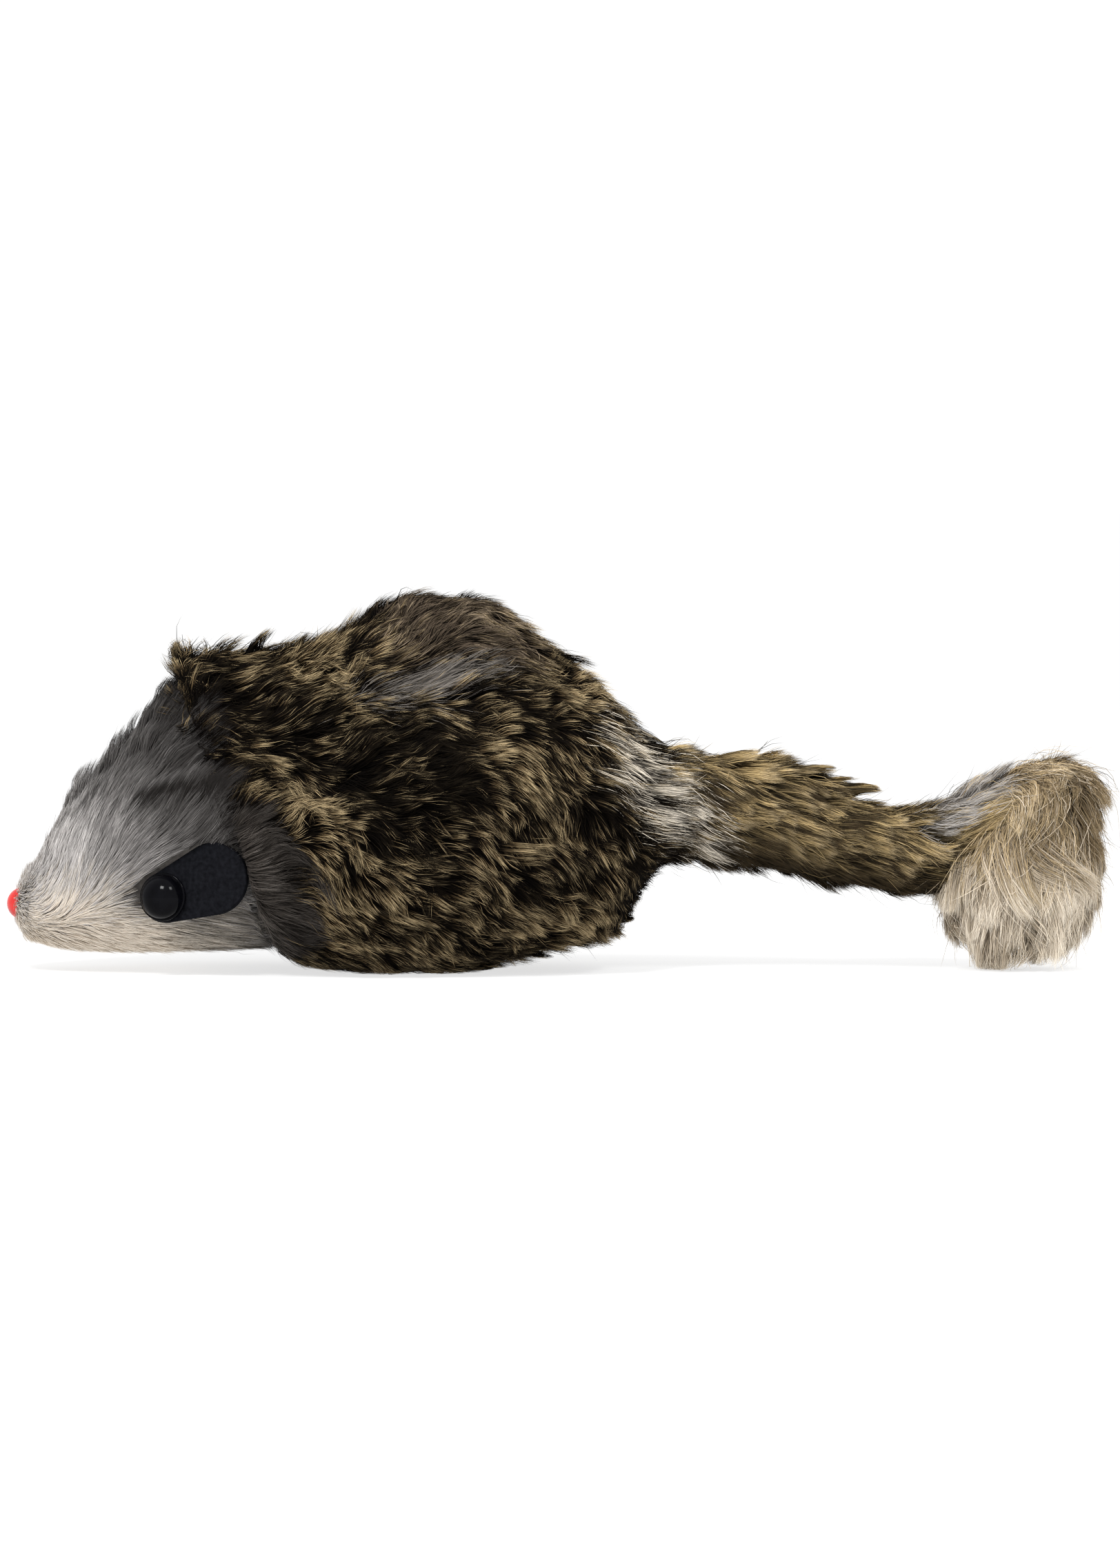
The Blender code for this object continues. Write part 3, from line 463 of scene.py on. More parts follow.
def hair_object(name, pile, coats, material, rng, roll=1.0, softness=0.6, taper=0.6):
    """One mesh of flat tapered hairs, each turned by its own roll but facing out of the pelt."""
    hairs = pile.points.copy()
    count, points, _ = hairs.shape
    low = FLOOR_CLEARANCE + 0.6 * MM * rng.random((count, 1))
    hairs[..., 2] = np.where(hairs[..., 2] < low, low, hairs[..., 2])
    t = pile.along()
    tangent = unit(np.gradient(hairs, axis=1))
    outward = pile.normal[:, None]
    side = unit(np.cross(tangent, outward))
    face = np.cross(side, tangent)
    angle = (rng.random((count, 1, 1)) - 0.5) * 2 * roll
    side = side * np.cos(angle) + face * np.sin(angle)
    half = (pile.width[:, None] * (0.5 * (1 - taper * t) * (1 - t**5)))[..., None]
    per = 2 * points - 1
    verts = np.empty((count, per, 3))
    verts[:, 0:-1:2] = (hairs - side * half)[:, :-1]
    verts[:, 1:-1:2] = (hairs + side * half)[:, :-1]
    verts[:, -1] = hairs[:, -1]
    quads = points - 2
    one_way, other_way = [], []
    for j in range(quads):
        one_way += [2 * j, 2 * j + 1, 2 * j + 3, 2 * j + 2]
        other_way += [2 * j, 2 * j + 2, 2 * j + 3, 2 * j + 1]
    one_way += [2 * quads, 2 * quads + 1, 2 * quads + 2]
    other_way += [2 * quads, 2 * quads + 2, 2 * quads + 1]
    facing = (np.cross(verts[:, 1] - verts[:, 0], verts[:, 2] - verts[:, 0]) * pile.normal).sum(-1) > 0
    corners = np.where(facing[:, None], np.array(one_way), np.array(other_way))
    loops = (corners + (np.arange(count) * per)[:, None]).ravel()
    starts = (np.arange(quads + 1) * 4 + (np.arange(count) * (quads * 4 + 3))[:, None]).ravel()
    mesh = bpy.data.meshes.new(name)
    mesh.vertices.add(count * per)
    mesh.loops.add(len(loops))
    mesh.polygons.add(len(starts))
    mesh.vertices.foreach_set("co", verts.ravel())
    mesh.loops.foreach_set("vertex_index", loops)
    mesh.polygons.foreach_set("loop_start", starts)
    uv = np.empty((count, per, 2))
    shade = np.clip(pile.shade, 0.01, 0.99)
    uv[..., 0] = shade[:, None] + np.where(np.arange(per) % 2 == 0, -0.004, 0.004)
    uv[:, -1, 0] = shade
    uv[..., 1] = (pile.coat[:, None] + 0.03 + 0.94 * np.repeat(t, 2)[:-1]) / coats
    layer = mesh.uv_layers.new(name="OFBake")
    layer.uv.foreach_set("vector", uv.reshape(-1, 2)[loops].ravel())
    mesh.update(calc_edges=True)
    mesh.polygons.foreach_set("use_smooth", np.ones(len(starts), bool))
    turned = unit(np.cross(side, tangent))
    turned = turned * np.where(dot(turned, outward) < 0, -1.0, 1.0)
    soft = unit(outward * softness + turned * (1 - softness))
    normals = np.empty((count, per, 3))
    normals[:, 0:-1:2] = soft[:, :-1]
    normals[:, 1:-1:2] = soft[:, :-1]
    normals[:, -1] = soft[:, -1]
    mesh.normals_split_custom_set_from_vertices(normals.reshape(-1, 3))
    mesh.materials.append(material)
    return add_object(name, mesh)


# Mesh pieces


def face_outwards(shape):
    bmesh.ops.recalc_face_normals(shape, faces=shape.faces)
    if shape.calc_volume(signed=True) < 0:
        bmesh.ops.reverse_faces(shape, faces=shape.faces)


def mesh_piece(name, shape, material, smooth_angle=None):
    face_outwards(shape)
    mesh = bpy.data.meshes.new(name)
    shape.to_mesh(mesh)
    shape.free()
    mesh.shade_smooth()
    if smooth_angle:
        mesh.set_sharp_from_angle(angle=smooth_angle)
    mesh.materials.append(material)
    return add_object(name, mesh)


def form_shape(form, depth, rows, columns, low=0.0, high=None, rough=None):
    """A closed bmesh of the form, or of a part of its length, at a depth under its surface."""
    high = form.last if high is None else high
    s, a = np.meshgrid(np.linspace(low, high, rows), np.arange(columns) * TURN / columns, indexing="ij")
    place, normal, _, _ = form.at(s.ravel(), a.ravel())
    if callable(depth):
        depth = depth(place)[:, None]
    place = place - normal * depth
    if rough is not None:
        place = place + normal * rough(place)[:, None]
    place[:, 2] = np.maximum(place[:, 2], 0.4 * MM)
    shape = bmesh.new()
    verts = [shape.verts.new(co) for co in place.tolist()]
    for row in range(rows - 1):
        for column in range(columns):
            first, beside = row * columns + column, row * columns + (column + 1) % columns
            shape.faces.new([verts[corner] for corner in (first, beside, beside + columns, first + columns)])
    ends = [shape.faces.new(verts[:columns][::-1]), shape.faces.new(verts[-columns:])]
    bmesh.ops.triangulate(shape, faces=ends)
    return shape


def lathe(name, profile, steps, material, matrix, smooth_angle=math.radians(50)):
    """A turned piece from a profile of (radius, height), with a pole at each end of it."""
    shape = bmesh.new()
    loops = []
    for radius, height in profile:
        if radius < 1e-7:
            loops.append([shape.verts.new((0, 0, height))])
            continue
        angles = [TURN * step / steps for step in range(steps)]
        ring = [(radius * math.cos(angle), radius * math.sin(angle), height) for angle in angles]
        loops.append([shape.verts.new(place) for place in ring])
    for before, after in zip(loops, loops[1:]):
        for step in range(steps):
            beside = (step + 1) % steps
            if len(before) == 1:
                shape.faces.new((before[0], after[step], after[beside]))
            elif len(after) == 1:
                shape.faces.new((before[step], before[beside], after[0]))
            else:
                shape.faces.new((before[step], before[beside], after[beside], after[step]))
    shape.transform(matrix)
    return mesh_piece(name, shape, material, smooth_angle)


def arc(centre, radius, start, end, count):
    angles = [start + (end - start) * number / count for number in range(count + 1)]
    return [(centre[0] + radius * math.cos(g), centre[1] + radius * math.sin(g)) for g in angles]


# The toy's forms
BODY_SHARES = (
    (-0.94, -0.54, 0.13, 0.745, 0.55),
    (-1.08, -0.60, 0.07, 0.833, 0.76),
    (-0.88, -0.44, 0.035, 0.852, 0.87),
    (-0.62, -0.28, 0.01, 0.886, 0.93),
    (-0.36, -0.12, 0.00, 0.890, 0.97),
    (-0.20, 0.03, 0.00, 0.940, 1.00),
    (0.00, 0.16, 0.00, 0.988, 1.00),
    (0.20, 0.30, 0.02, 1.002, 0.99),
    (0.40, 0.45, 0.055, 0.994, 0.95),
    (0.56, 0.61, 0.075, 0.882, 0.87),
    (0.74, 0.78, 0.095, 0.768, 0.73),
    (0.93, 0.92, 0.165, 0.660, 0.53),
    (1.02, 0.99, 0.29, 0.580, 0.32),
)
HEAD_SHARES = (
    (-1.00, -1.00, 0.165, 0.280, 0.17),
    (-0.965, -0.965, 0.105, 0.355, 0.33),
    (-0.885, -0.885, 0.080, 0.585, 0.50),
    (-0.77, -0.77, 0.082, 0.720, 0.66),
    (-0.65, -0.62, 0.084, 0.900, 0.82),
    (-0.50, -0.44, 0.095, 1.03, 0.96),
    (-0.26, -0.20, 0.11, 1.03, 1.00),
)
WAD_SHARES = (
    (-1.00, -1.00, 0.30, 0.45, 0.35),
    (-0.60, -0.60, 0.00, 0.85, 0.85),
    (0.00, 0.00, 0.00, 1.00, 1.00),
    (0.60, 0.60, 0.00, 0.85, 0.85),
    (1.00, 1.00, 0.30, 0.45, 0.35),
)
# The forms' reaches ahead of the origin and behind it, their bases, heights and widths.
BODY_FRONT, BODY_REAR = 38 * MM, 43.8 * MM
BODY_BASE, BODY_HEIGHT, BODY_WIDTH = -1.6 * MM, 66.6 * MM, 59 * MM
HEAD_FRONT, HEAD_REAR = 64.9 * MM, 14 * MM
HEAD_HEIGHT, HEAD_WIDTH = 51 * MM, 46 * MM
WAD_MIDDLE, WAD_REACH = 11 * MM, 17.4 * MM
WAD_BASE, WAD_HEIGHT, WAD_WIDTH = 36.4 * MM, 16.2 * MM, 25 * MM
# The waves of the body's locks. A wave is its run along X, out to either side and up, in spacings of the
# locks, then where it starts, as a share of a turn, and its height.
LOCK_SPACING = 19 * MM
LOCK_RELIEF = 3.6 * MM
LOCK_WAVE_SHARES = (
    (0.34, 0.80, 0.94, 0.15, 0.50),
    (0.87, -0.45, 0.50, 0.60, 0.35),
    (-0.40, 0.55, 0.62, 0.35, 0.35),
)
SIDE_SAG = 0.22
# Rings along the tail, in millimetres: x, height of the centre, half height, half width.
TAIL_RINGS = (
    (39.0, 29.0, 9.4, 9.6),
    (45.0, 28.6, 9.5, 9.5),
    (51.5, 28.1, 9.4, 9.0),
    (58.0, 27.2, 9.2, 8.4),
    (64.0, 26.0, 9.2, 8.0),
    (70.0, 24.8, 9.0, 7.8),
    (76.0, 22.9, 8.3, 7.5),
    (82.0, 20.9, 7.3, 7.1),
    (88.0, 20.1, 7.6, 7.1),
    (94.0, 22.2, 8.3, 7.0),
    (100.0, 26.0, 7.0, 6.4),
    (105.5, 29.8, 5.2, 5.2),
    (110.5, 32.0, 3.6, 4.0),
)
# The tuft's rings: height, half length and half width, then how far the ring leans back along the tail.
TUFT_SHARES = (
    (1.00, 0.34, 0.42, 0.18),
    (0.93, 0.72, 0.78, 0.13),
    (0.72, 0.90, 0.95, 0.05),
    (0.42, 0.98, 1.00, 0.00),
    (0.17, 0.86, 0.92, -0.03),
    (0.00, 0.50, 0.66, -0.03),
)
TUFT_MIDDLE = 105.61
TUFT_LENGTH = 29.0
TUFT_WIDTH = 18.0
TUFT_BASE = 1.6
TUFT_TOP = 36.6
TUFT_RINGS = [
    (
        Vector((TUFT_MIDDLE + lean * TUFT_LENGTH, 0, TUFT_BASE + high * (TUFT_TOP - TUFT_BASE))) * MM,
        Vector((long * TUFT_LENGTH / 2, 0, 0)) * MM,
        wide * TUFT_WIDTH / 2 * MM,
    )
    for high, long, wide, lean in TUFT_SHARES
]


def lock_relief(places):
    """How far the locks of the long pile stand out of the body's cage. Its belly and rump end stay calm."""
    x, y, z = places[..., 0], np.abs(places[..., 1]), places[..., 2]
    waves = 0.0
    for along, out, up, start, height in LOCK_WAVE_SHARES:
        waves = waves + height * np.sin(TURN * ((x * along + y * out + z * up) / LOCK_SPACING + start))
    calm = np.clip(z / LOCK_SPACING, 0, 1) * np.clip((BODY_REAR - x) / LOCK_SPACING, 0, 1)
    return LOCK_RELIEF * waves * calm


body_rings = lengthwise(BODY_SHARES, BODY_FRONT, BODY_REAR, BODY_BASE, BODY_HEIGHT, BODY_WIDTH)
body_form = Form(body_rings, points=24, sag=SIDE_SAG, relief=lock_relief)
head_form = Form(lengthwise(HEAD_SHARES, HEAD_FRONT, HEAD_REAR, 0.0, HEAD_HEIGHT, HEAD_WIDTH), sag=SIDE_SAG)
wad_form = Form(lengthwise(WAD_SHARES, WAD_REACH, WAD_REACH, WAD_BASE, WAD_HEIGHT, WAD_WIDTH, WAD_MIDDLE))
tail_form = Form(
    [(Vector((x, 0, z)) * MM, Vector((0, 0, up * MM)), wide * MM) for x, z, up, wide in TAIL_RINGS]
)
tuft_form = Form(TUFT_RINGS)


def bvh_of(form, rows=48, columns=36):
    shape = form_shape(form, 0.0, rows, columns)
    face_outwards(shape)
    tree = BVHTree.FromBMesh(shape)
    shape.free()
    return tree


def depth_in(tree, places):
    """How deep each place lies inside a closed form, below zero outside it."""
    depths = np.empty(len(places))
    for number, place in enumerate(places.tolist()):
        point, normal, _, distance = tree.find_nearest(place)
        inside = (Vector(place) - point).dot(normal) < 0
        depths[number] = distance if inside else -distance
    return depths


# Ears and eyes
# Each face side: the ear's sheet, with the eye through its tip. The face's frame on the toy's right side: the
# ways along the ear and outwards, and the seat of the eye.
FACE_ALONG = (0.88914, 0.283433, 0.3593)
FACE_OUTWARD = (-0.340147, 0.934545, 0.104528)
FACE_SEAT = (-39.232 * MM, 17.454 * MM, 13.579 * MM)
EAR_THICKNESS = 1.4 * MM
EAR_TIP = 4.3 * MM
EAR_LOBE = 6.1 * MM
EAR_REACH = 9.2 * MM
EAR_CREASE = 4.9 * MM
EAR_BEND = 1.8 * MM
# Hairs are kept this far under an ear's sheet and about it, and are looked for this high over it.
EAR_CLEARANCE = 0.2 * MM
EAR_MARGIN = 0.25 * MM
EAR_HEADROOM = 14 * MM
EYE_GAP = 0.3 * MM
EYE_DOME = (3.75 * MM, 3.1 * MM)
EYE_RIM = (4.1 * MM, 0.7 * MM)
EYE_STEM = (1.1 * MM, 9.5 * MM)


def face_frame(side):
    """The seat of an eye and its ear: the middle of the ear's sheet, under the eye's centre."""
    along, outward, seat = (Vector((x, side * y, z)) for x, y, z in (FACE_ALONG, FACE_OUTWARD, FACE_SEAT))
    along.normalize()
    outward.normalize()
    matrix = Matrix((along, outward.cross(along), outward)).transposed().to_4x4()
    matrix.translation = seat
    return matrix


def teardrop(grow=0.0, tip_steps=28, lobe_steps=56):
    """The ear's outline: the arc about the eye, then the lobe's."""
    tangent = math.pi / 2 + math.asin((EAR_LOBE - EAR_TIP) / EAR_REACH)
    tip = arc((0.0, 0.0), EAR_TIP + grow, tangent, TURN - tangent, tip_steps)
    return tip + arc((EAR_REACH, 0.0), EAR_LOBE + grow, -tangent, tangent, lobe_steps)


def in_teardrop(x, y, grow=0.0):
    """Which points of the sheet's plane lie inside its outline."""
    lean = math.asin((EAR_LOBE - EAR_TIP) / EAR_REACH)
    start, end = -EAR_TIP * math.sin(lean), EAR_REACH - EAR_LOBE * math.sin(lean)
    share = np.clip((x - start) / (end - start), 0, 1)
    half = (EAR_TIP + (EAR_LOBE - EAR_TIP) * share) * math.cos(lean) + grow
    between = (x > start) & (x < end) & (np.abs(y) < half)
    return between | (np.hypot(x, y) < EAR_TIP + grow) | (np.hypot(x - EAR_REACH, y) < EAR_LOBE + grow)


def make_ear(word, side, material):
    """One foam sheet with softened edges, with rows of edges cut across its crease beside the eye."""
    shape = bmesh.new()
    outline = [shape.verts.new((x, y, -EAR_THICKNESS / 2)) for x, y in teardrop()]
    under = shape.faces.new(outline)
    top = bmesh.ops.extrude_face_region(shape, geom=[under])
    raised = [item for item in top["geom"] if isinstance(item, bmesh.types.BMVert)]
    bmesh.ops.translate(shape, verts=raised, vec=(0, 0, EAR_THICKNESS))
    rims = [edge for edge in shape.edges if abs(edge.verts[0].co.z - edge.verts[1].co.z) < 1e-7]
    bmesh.ops.bevel(shape, geom=rims, offset=0.2 * MM, segments=3, profile=0.6, affect="EDGES")
    for number in range(-5, 6):
        everything = shape.verts[:] + shape.edges[:] + shape.faces[:]
        place = (EAR_CREASE + number * 0.22 * MM, 0, 0)
        bmesh.ops.bisect_plane(shape, geom=everything, dist=1e-7, plane_co=place, plane_no=(1, 0, 0))
    bmesh.ops.triangulate(shape, faces=[face for face in shape.faces if len(face.verts) > 4])
    matrix = face_frame(side)
    shape.transform(matrix)
    ear = mesh_piece(f"ear_{word}_sheet", shape, material, math.radians(40))
    bend = (EAR_CREASE - EAR_BEND / 2, EAR_CREASE + EAR_BEND / 2)
    start, end = (matrix @ Vector((reach, 0, EAR_THICKNESS / 2)) for reach in bend)
    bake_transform(ear)
    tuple(start)
    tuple(end)
    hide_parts(f"ear_{word}_tab", f"ear_{word}_flap")
    return ear


def make_eye(word, side, material):
    """A domed eye on a stem, with a narrow flat rim about the dome."""
    base = EAR_THICKNESS / 2 + EYE_GAP
    dome_radius, dome_height = EYE_DOME
    rim_radius, rim_height = EYE_RIM
    profile = [(0.0, base + rim_height + dome_height)]
    for share in range(1, 25):
        angle = math.pi / 2 * share / 24
        rise = dome_height * math.cos(angle) * 0.995
        profile.append((dome_radius * math.sin(angle), base + rim_height + rise))
    soft = 0.16 * MM
    stem_radius, foot = EYE_STEM[0], base - EYE_STEM[1]
    profile += arc((rim_radius - soft, base + rim_height - soft), soft, math.pi / 2, 0, 5)
    profile += arc((rim_radius - soft, base + soft), soft, 0, -math.pi / 2, 5)
    profile += [(stem_radius, base), (stem_radius, foot + soft), (stem_radius - soft, foot), (0.0, foot)]
    eye = lathe(f"eye_{word}_dome", profile, 72, material, face_frame(side))
    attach(eye, "core")
    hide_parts(f"eye_{word}")
    return eye


NOSE_AT = (-64.45 * MM, 0, 11.4 * MM)
TAIL_ROOT_HEIGHT = 28.6


def make_nose(material):
    """A round bead on a stem into the snout."""
    radius, stem_radius, stem = 2.75 * MM, 1.1 * MM, 8.4 * MM
    neck = math.asin(stem_radius / radius)
    profile = arc((0.0, 0.0), radius, math.pi / 2, neck - math.pi / 2, 30)
    profile[0] = (0.0, radius)
    profile += [(stem_radius, -stem + 0.2 * MM), (stem_radius - 0.2 * MM, -stem), (0.0, -stem)]
    matrix = Matrix.Translation(NOSE_AT) @ Matrix.Rotation(-math.pi / 2, 4, "Y")
    nose = lathe("nose_bead_ball", profile, 72, material, matrix)
    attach(nose, "core")
    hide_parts("nose_bead")


# Coats
# A coat's hairs are of a dark and a light kind. A kind is its colours from root to tip: (place, colour).
AGOUTI_DARK = ((0.0, (0.0015, 0.0012, 0.001)), (0.7, (0.0024, 0.0018, 0.0014)), (1.0, (0.008, 0.006, 0.0042)))
AGOUTI_TAN = (
    (0.0, (0.002, 0.0015, 0.0012)),
    (0.52, (0.005, 0.0036, 0.0024)),
    (0.68, (0.13, 0.090, 0.046)),
    (0.86, (0.52, 0.40, 0.225)),
    (1.0, (0.28, 0.205, 0.115)),
)
BROWN_DARK = ((0.0, (0.024, 0.018, 0.013)), (1.0, (0.085, 0.064, 0.045)))
BROWN_TAN = (
    (0.0, (0.034, 0.026, 0.019)),
    (0.5, (0.13, 0.10, 0.068)),
    (0.85, (0.36, 0.28, 0.19)),
    (1.0, (0.27, 0.21, 0.14)),
)
SLATE_DARK = ((0.0, (0.04, 0.036, 0.033)), (1.0, (0.085, 0.076, 0.068)))
SLATE_LIGHT = ((0.0, (0.12, 0.108, 0.096)), (1.0, (0.25, 0.225, 0.198)))
CREAM_DARK = ((0.0, (0.012, 0.011, 0.010)), (0.5, (0.03, 0.026, 0.022)), (1.0, (0.11, 0.095, 0.078)))
CREAM_LIGHT = ((0.0, (0.14, 0.12, 0.095)), (0.5, (0.50, 0.44, 0.35)), (1.0, (0.92, 0.84, 0.71)))
SMOKE_DARK = ((0.0, (0.003, 0.0025, 0.002)), (1.0, (0.006, 0.0048, 0.004)))
SMOKE_LIGHT = ((0.0, (0.05, 0.043, 0.038)), (0.6, (0.13, 0.112, 0.098)), (1.0, (0.30, 0.27, 0.245)))
BODY_COATS = (
    (AGOUTI_DARK, AGOUTI_TAN),
    (BROWN_DARK, BROWN_TAN),
    (SLATE_DARK, SLATE_LIGHT),
    (CREAM_DARK, CREAM_LIGHT),
    (SMOKE_DARK, SMOKE_LIGHT),
)
AGOUTI, BROWN, SLATE, CREAM, SMOKE = range(5)

GREY_DARK = ((0.0, (0.006, 0.005, 0.0045)), (1.0, (0.012, 0.010, 0.009)))
GREY_LIGHT = ((0.0, (0.30, 0.28, 0.27)), (0.5, (0.55, 0.52, 0.50)), (1.0, (0.68, 0.65, 0.63)))
MILK_DARK = ((0.0, (0.012, 0.010, 0.008)), (1.0, (0.030, 0.025, 0.020)))
MILK_LIGHT = ((0.0, (0.52, 0.43, 0.35)), (0.5, (0.78, 0.69, 0.58)), (1.0, (0.88, 0.81, 0.71)))
HEAD_COATS = ((GREY_DARK, GREY_LIGHT), (MILK_DARK, MILK_LIGHT))
GREY, MILK = range(2)

GOLD_DARK = ((0.0, (0.006, 0.005, 0.004)), (0.6, (0.010, 0.008, 0.005)), (1.0, (0.04, 0.027, 0.014)))
GOLD_TAN = (
    (0.0, (0.014, 0.010, 0.006)),
    (0.42, (0.11, 0.075, 0.034)),
    (0.8, (0.50, 0.365, 0.175)),
    (1.0, (0.76, 0.61, 0.38)),
)
DUSK_DARK = ((0.0, (0.06, 0.054, 0.049)), (1.0, (0.15, 0.137, 0.124)))
DUSK_LIGHT = ((0.0, (0.20, 0.182, 0.165)), (1.0, (0.46, 0.43, 0.40)))
TAIL_COATS = ((GOLD_DARK, GOLD_TAN), (CREAM_DARK, CREAM_LIGHT), (DUSK_DARK, DUSK_LIGHT))
GOLD, TAIL_CREAM, DUSK = range(3)

PALE_DARK = ((0.0, (0.06, 0.048, 0.033)), (0.6, (0.23, 0.178, 0.118)), (1.0, (0.42, 0.34, 0.24)))
PALE_LIGHT = ((0.0, (0.32, 0.25, 0.17)), (0.5, (0.66, 0.56, 0.43)), (1.0, (0.93, 0.86, 0.74)))
HAZEL_DARK = ((0.0, (0.03, 0.022, 0.014)), (0.6, (0.10, 0.070, 0.038)), (1.0, (0.24, 0.17, 0.092)))
HAZEL_LIGHT = ((0.0, (0.15, 0.11, 0.062)), (0.5, (0.56, 0.42, 0.24)), (1.0, (0.86, 0.70, 0.45)))
TUFT_COATS = ((PALE_DARK, PALE_LIGHT), (HAZEL_DARK, HAZEL_LIGHT))
PALE, HAZEL = range(2)

# How many hairs each pile starts with, and how wide a hair is. The crest's grow on the head, under its edge.
BODY_HAIRS, CREST_HAIRS, HEAD_HAIRS, TAIL_HAIRS, TUFT_HAIRS = 190000, 12000, 120000, 88000, 48000
BODY_HAIR, HEAD_HAIR, TAIL_HAIR = 0.15 * MM, 0.12 * MM, 0.155 * MM
# How deep each pelt lies under its form.
BODY_PELT_DEPTH, HEAD_PELT_DEPTH, TUFT_PELT_DEPTH = 3.6 * MM, 1.7 * MM, 3.6 * MM
# The place along the head's form where its pelt and pile end, under the body.
HEAD_END = 8.9
# Stray locks, in millimetres: where the lock's hairs are rooted, its tip, and how far about the root
# they grow.
BODY_LOCKS = (
    ((-38, -4, 48.0), (-44.0, -5, 54.4), 1.6),
    ((-36, -1, 50.0), (-38.6, -1, 54.4), 1.8),
    ((-27, -3, 52.6), (-22.9, -4, 60.0), 2.0),
    ((-20, -2, 53.4), (-16.2, -2, 58.2), 2.0),
    ((-35, 6, 50), (-40, 8, 52.5), 1.9),
    ((34, -4, 48), (41.5, -5, 46.0), 2.2),
    ((38, -2, 42), (45.0, -3, 39.0), 2.2),
    ((31, 3, 51), (36.0, 3, 50.2), 2.0),
    ((21, -3, 59), (27.5, -3, 58.4), 2.2),
    ((12, 2, 63.5), (18.5, 2, 64.6), 1.8),
    ((37.5, -3, 14.5), (41.4, -4, 12.7), 2.3),
    ((35, -1, 11), (41.0, -2, 9.5), 2.4),
    ((31.5, -4, 8.5), (36.6, -5, 7.0), 2.4),
    ((26, -2, 6), (31.0, -3, 4.2), 2.2),
    ((19, -8, 4), (25.0, -9, 2.4), 2.4),
    ((9, -6, 3), (16.2, -8, 0.8), 2.6),
    ((1, -10, 3), (7.5, -12, 0.4), 2.4),
    ((-22, -5, 6), (-17.0, -6, 0.6), 2.4),
)
TAIL_LOCKS = (
    ((64, -1, 34.5), (74.8, -1, 35.2), 3.4),
    ((59, 2, 36), (67.5, 2, 38.0), 3.0),
    ((52, -2, 36), (61.0, -2.5, 38.6), 3.0),
    ((72, 0, 31), (82.0, 0, 31.8), 3.2),
    ((69, 3, 32), (77.5, 4, 33.4), 2.6),
    ((68, -5, 31), (76.5, -6.5, 32.0), 2.4),
)
TUFT_LOCKS = (
    ((96, -4, 18), (91.6, -5, 10.4), 3.0),
    ((99, -5, 13), (96.8, -6, 4.6), 3.0),
    ((99, -6, 8), (97.0, -7, 0.6), 2.6),
    ((104, -7, 8), (102.5, -8, 0.2), 2.6),
    ((109, -6, 8), (109.0, -7, 0.2), 2.6),
    ((113, -4, 9), (113.6, -4, 1.6), 2.6),
    ((115, -3, 16), (116.4, -3, 9.4), 2.8),
    ((117, -2, 19), (120.0, -2, 11.8), 3.0),
    ((117, 0, 24), (121.0, 0, 17.5), 2.6),
)


# Pelts and their pile


def pelt(name, form, depth, rows, columns, material, fill, **span):
    """The backing that the pile grows from."""
    made = mesh_piece(name, form_shape(form, depth, rows, columns, **span), material)
    return made


def press_ears(pile, side):
    """Presses the hairs that grow under an ear flat, and takes off those that would cross over it."""
    matrix = np.array(face_frame(side))
    inverse = np.array(face_frame(side).inverted())
    local = pile.points @ inverse[:3, :3].T + inverse[:3, 3]
    underside = -EAR_THICKNESS / 2 - EAR_CLEARANCE
    within = in_teardrop(local[..., 0], local[..., 1], EAR_MARGIN) & (local[..., 2] < EAR_HEADROOM)
    over = within & (local[..., 2] > underside)
    kept = within[:, 0] | ~over.any(1)
    pile, local, over = pile.only(kept), local[kept], over[kept]
    level = underside - 0.6 * MM * (np.arange(len(local)) * 0.618 % 1)
    local[..., 2] = np.where(over, level[:, None], local[..., 2])
    pile.points = local @ matrix[:3, :3].T + matrix[:3, 3]
    return pile


def in_lengths(pile, words):
    """Cuts a pile into its two sides, and each side into lengths with equal numbers of hairs."""
    left = pile.points[:, 0, 1] < 0
    for side_word, chosen in (("left", left), ("right", ~left)):
        side = pile.only(chosen)
        order = np.argsort(side.points[:, 0, 0], kind="stable")
        for word, part in zip(words, np.array_split(order, len(words))):
            yield f"{side_word}_{word}", side.only(np.sort(part))


def bump_at(value, middle, reach):
    """One at a middle, fading to nothing some reaches away."""
    return np.exp(-(((value - middle) / reach) ** 2))


def head_comb(place):
    """The way the short pile lies: back from the nose, and up over the brow."""
    x, z = place[:, 0] / MM, place[:, 2] / MM
    share = np.clip(z / np.maximum(12 + (x + 64) * 1.25, 6), 0, 1)
    angle = np.radians(-4 + 54 * smooth(share, 0.08, 0.75) + 14 * smooth(-x, 40, 56) * share)
    return np.stack([np.cos(angle), np.zeros_like(x), np.sin(angle)], -1)


def coat_edge(z):
    """Where along the toy the agouti coat starts, for each height, in millimetres."""
    heights = (0, 6, 13, 17, 20, 24, 28, 31, 33, 35, 38, 42, 57)
    return np.interp(z, heights, (-18, -13, -11, -12, -14.5, -17.5, -19.5, -21.5, -31, -35, -39, -44, -50))


